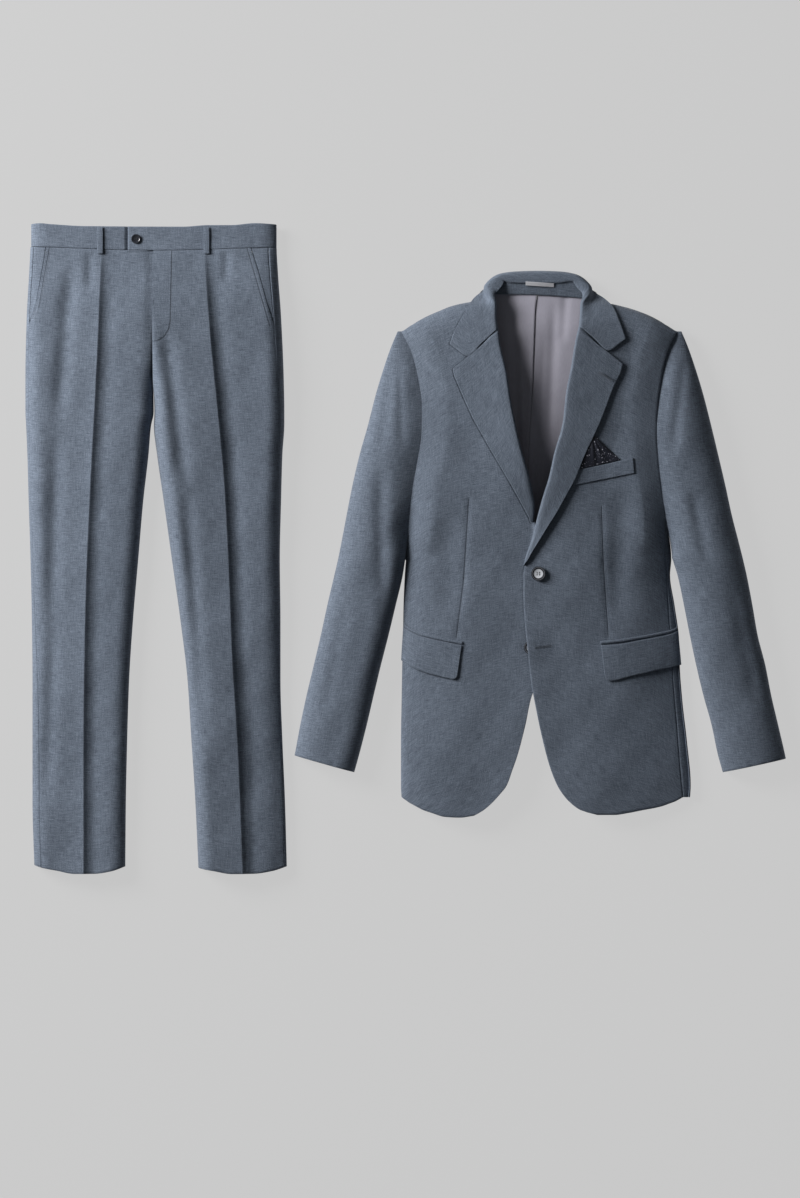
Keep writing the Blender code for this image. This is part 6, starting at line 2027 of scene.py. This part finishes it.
class SUIT_OT_buttons(bpy.types.Operator):
    """The two front buttons and the waist button"""

    bl_idname = "suit.buttons"
    bl_label = "Buttons"

    def execute(self, context):
        settings = context.scene.suit_cloth
        spots = {
            "button_front_upper": (
                JACKET_PLACE, UPPER_BUTTON, left_front_top, FRONT_BUTTON_RADIUS, FRONT_BUTTON_THICK),
            "button_front_lower": (JACKET_PLACE, LOWER_BUTTON, right_front_top, FRONT_BUTTON_RADIUS,
                                   FRONT_BUTTON_THICK),
            "waist_button": (TROUSER_PLACE, WAIST_BUTTON, band_top, WAIST_BUTTON_RADIUS, WAIST_BUTTON_THICK),
        }
        centres = [tuple(world(JACKET_PLACE, (*spot, 0.0))) for spot in (UPPER_BUTTON, LOWER_BUTTON)]
        # Horn with the painted dish reflection and the painted rim highlight, for the front buttons.
        dish_reflection = horn("horn_with_dish", settings, FRONT_BUTTON_RADIUS * MM, centres)
        dark = horn("horn_dark", settings, WAIST_BUTTON_RADIUS * MM, ())
        thread = thread_finish("button_thread", settings.button_streak)
        grain = grain_model()
        for name, (place, centre, height, radius, thick) in spots.items():
            base = seat(height, centre, radius)
            finish = dark if name == "waist_button" else dish_reflection
            button = turned_button("turned_" + name, place, centre, base, radius, thick, finish)
            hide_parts(name)
            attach(button, "root")
            top = base + THREAD_LEVEL * thick
            middles = np.array([(centre[0] + x * HOLE_SPREAD * radius, centre[1], top) for x in (-1, 1)])
            ways = np.tile((0.0, 1.0, 0.0), (2, 1))
            sewn = stitches(
                "thread_" + name, grain, place, middles, ways, 0.5 * radius, 0.09 * radius, thread, 0.6)
            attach(sewn, "root")
        return {"FINISHED"}


class SUIT_OT_sewing(bpy.types.Operator):
    """Topstitching and buttonholes"""

    bl_idname = "suit.sewing"
    bl_label = "Sewing"

    def execute(self, context):
        thread = thread_finish("sewing_thread", context.scene.suit_cloth.thread)
        silk = thread_finish("buttonhole_thread", context.scene.suit_cloth.buttonhole_thread)
        grain = grain_model()
        pieces = []
        seams = trouser_seams(trouser_top)
        middles = np.concatenate([seam[0] for seam in seams])
        ways = np.concatenate([seam[1] for seam in seams])
        pieces.append(stitches("trouser_topstitching", grain, TROUSER_PLACE, middles, ways,
                               STITCH_LENGTH, STITCH_WIDTH, thread))
        for name, start, end, height in BUTTONHOLES:
            top = HEIGHTS[height]
            pieces.append(buttonhole(grain, name, JACKET_PLACE, start, end, top, silk))
        for piece in pieces:
            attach(piece, "root")
        return {"FINISHED"}


class SUIT_OT_stage(bpy.types.Operator):
    """Pale floor, soft light from the upper left, and the camera straight above"""

    bl_idname = "suit.stage"
    bl_label = "Studio stage"

    def execute(self, context):
        stage = context.scene.studio_stage
        bpy.ops.object.select_all(action="DESELECT")
        bpy.ops.mesh.primitive_plane_add(size=FLOOR_SIZE, location=(0, 0, 0))
        floor = context.object
        floor.name = "studio_floor"
        floor.data.materials.append(floor_finish("pale_floor", stage.floor_colour, stage.floor_glow))
        sky = bpy.data.worlds.new("soft fill")
        sky.use_nodes = True
        sky.node_tree.nodes["Background"].inputs["Color"].default_value = FILL_COLOUR
        sky.node_tree.nodes["Background"].inputs["Strength"].default_value = stage.fill_power
        context.scene.world = sky
        bpy.ops.object.light_add(type="AREA", location=stage.key_place)
        key = context.object
        key.name = "key_light"
        key.data.energy = stage.key_power
        key.data.size = stage.key_size
        toward = Vector(stage.key_place) - Vector(KEY_AIM)
        key.rotation_euler = toward.to_track_quat("Z", "Y").to_euler()
        bpy.ops.object.camera_add(location=(*FRAME_CENTRE, stage.camera_distance), rotation=(0, 0, 0))
        camera = context.object
        camera.name = "photo_camera"
        camera.data.sensor_width = SENSOR_WIDTH
        camera.data.sensor_fit = "AUTO"
        camera.data.lens = camera.data.sensor_width * stage.camera_distance / stage.frame_height
        camera.data.clip_end = CLIP_END
        context.scene.camera = camera
        context.scene.view_settings.view_transform = "Standard"
        return {"FINISHED"}


class SUIT_PT_panel(bpy.types.Panel):
    """Sidebar list of the suit's pieces and settings"""

    bl_label = "Laid-out suit"
    bl_idname = "SUIT_PT_panel"
    bl_space_type = "VIEW_3D"
    bl_region_type = "UI"
    bl_category = "Suit"

    def draw(self, context):
        for operator in OPERATORS:
            self.layout.operator(operator.bl_idname)
        for settings in (context.scene.suit_cloth, context.scene.suit_sizes, context.scene.studio_stage):
            for key in settings.__annotations__:
                self.layout.prop(settings, key)


OPERATORS = (SUIT_OT_trousers, SUIT_OT_jacket_body, SUIT_OT_sleeves, SUIT_OT_collar, SUIT_OT_pockets,
             SUIT_OT_buttons, SUIT_OT_sewing, SUIT_OT_stage)
SETTINGS = {"suit_cloth": SuitCloth, "suit_sizes": SuitSizes, "studio_stage": StudioStage}


def register():
    """Make the settings, the operators and the panel known to Blender."""
    for group in SETTINGS.values():
        bpy.utils.register_class(group)
    for name, group in SETTINGS.items():
        setattr(bpy.types.Scene, name, bpy.props.PointerProperty(type=group))
    for operator in OPERATORS:
        bpy.utils.register_class(operator)
    bpy.utils.register_class(SUIT_PT_panel)


def unregister():
    """Take them away again, in reverse."""
    bpy.utils.unregister_class(SUIT_PT_panel)
    for operator in reversed(OPERATORS):
        bpy.utils.unregister_class(operator)
    for name, group in SETTINGS.items():
        delattr(bpy.types.Scene, name)
        bpy.utils.unregister_class(group)


def main():
    """Build every group of pieces and the stage."""
    register()
    bpy.ops.suit.trousers()
    bpy.ops.suit.jacket_body()
    bpy.ops.suit.sleeves()
    bpy.ops.suit.collar()
    bpy.ops.suit.pockets()
    bpy.ops.suit.buttons()
    bpy.ops.suit.sewing()
    bpy.ops.suit.stage()


if __name__ == "__main__":
    main()
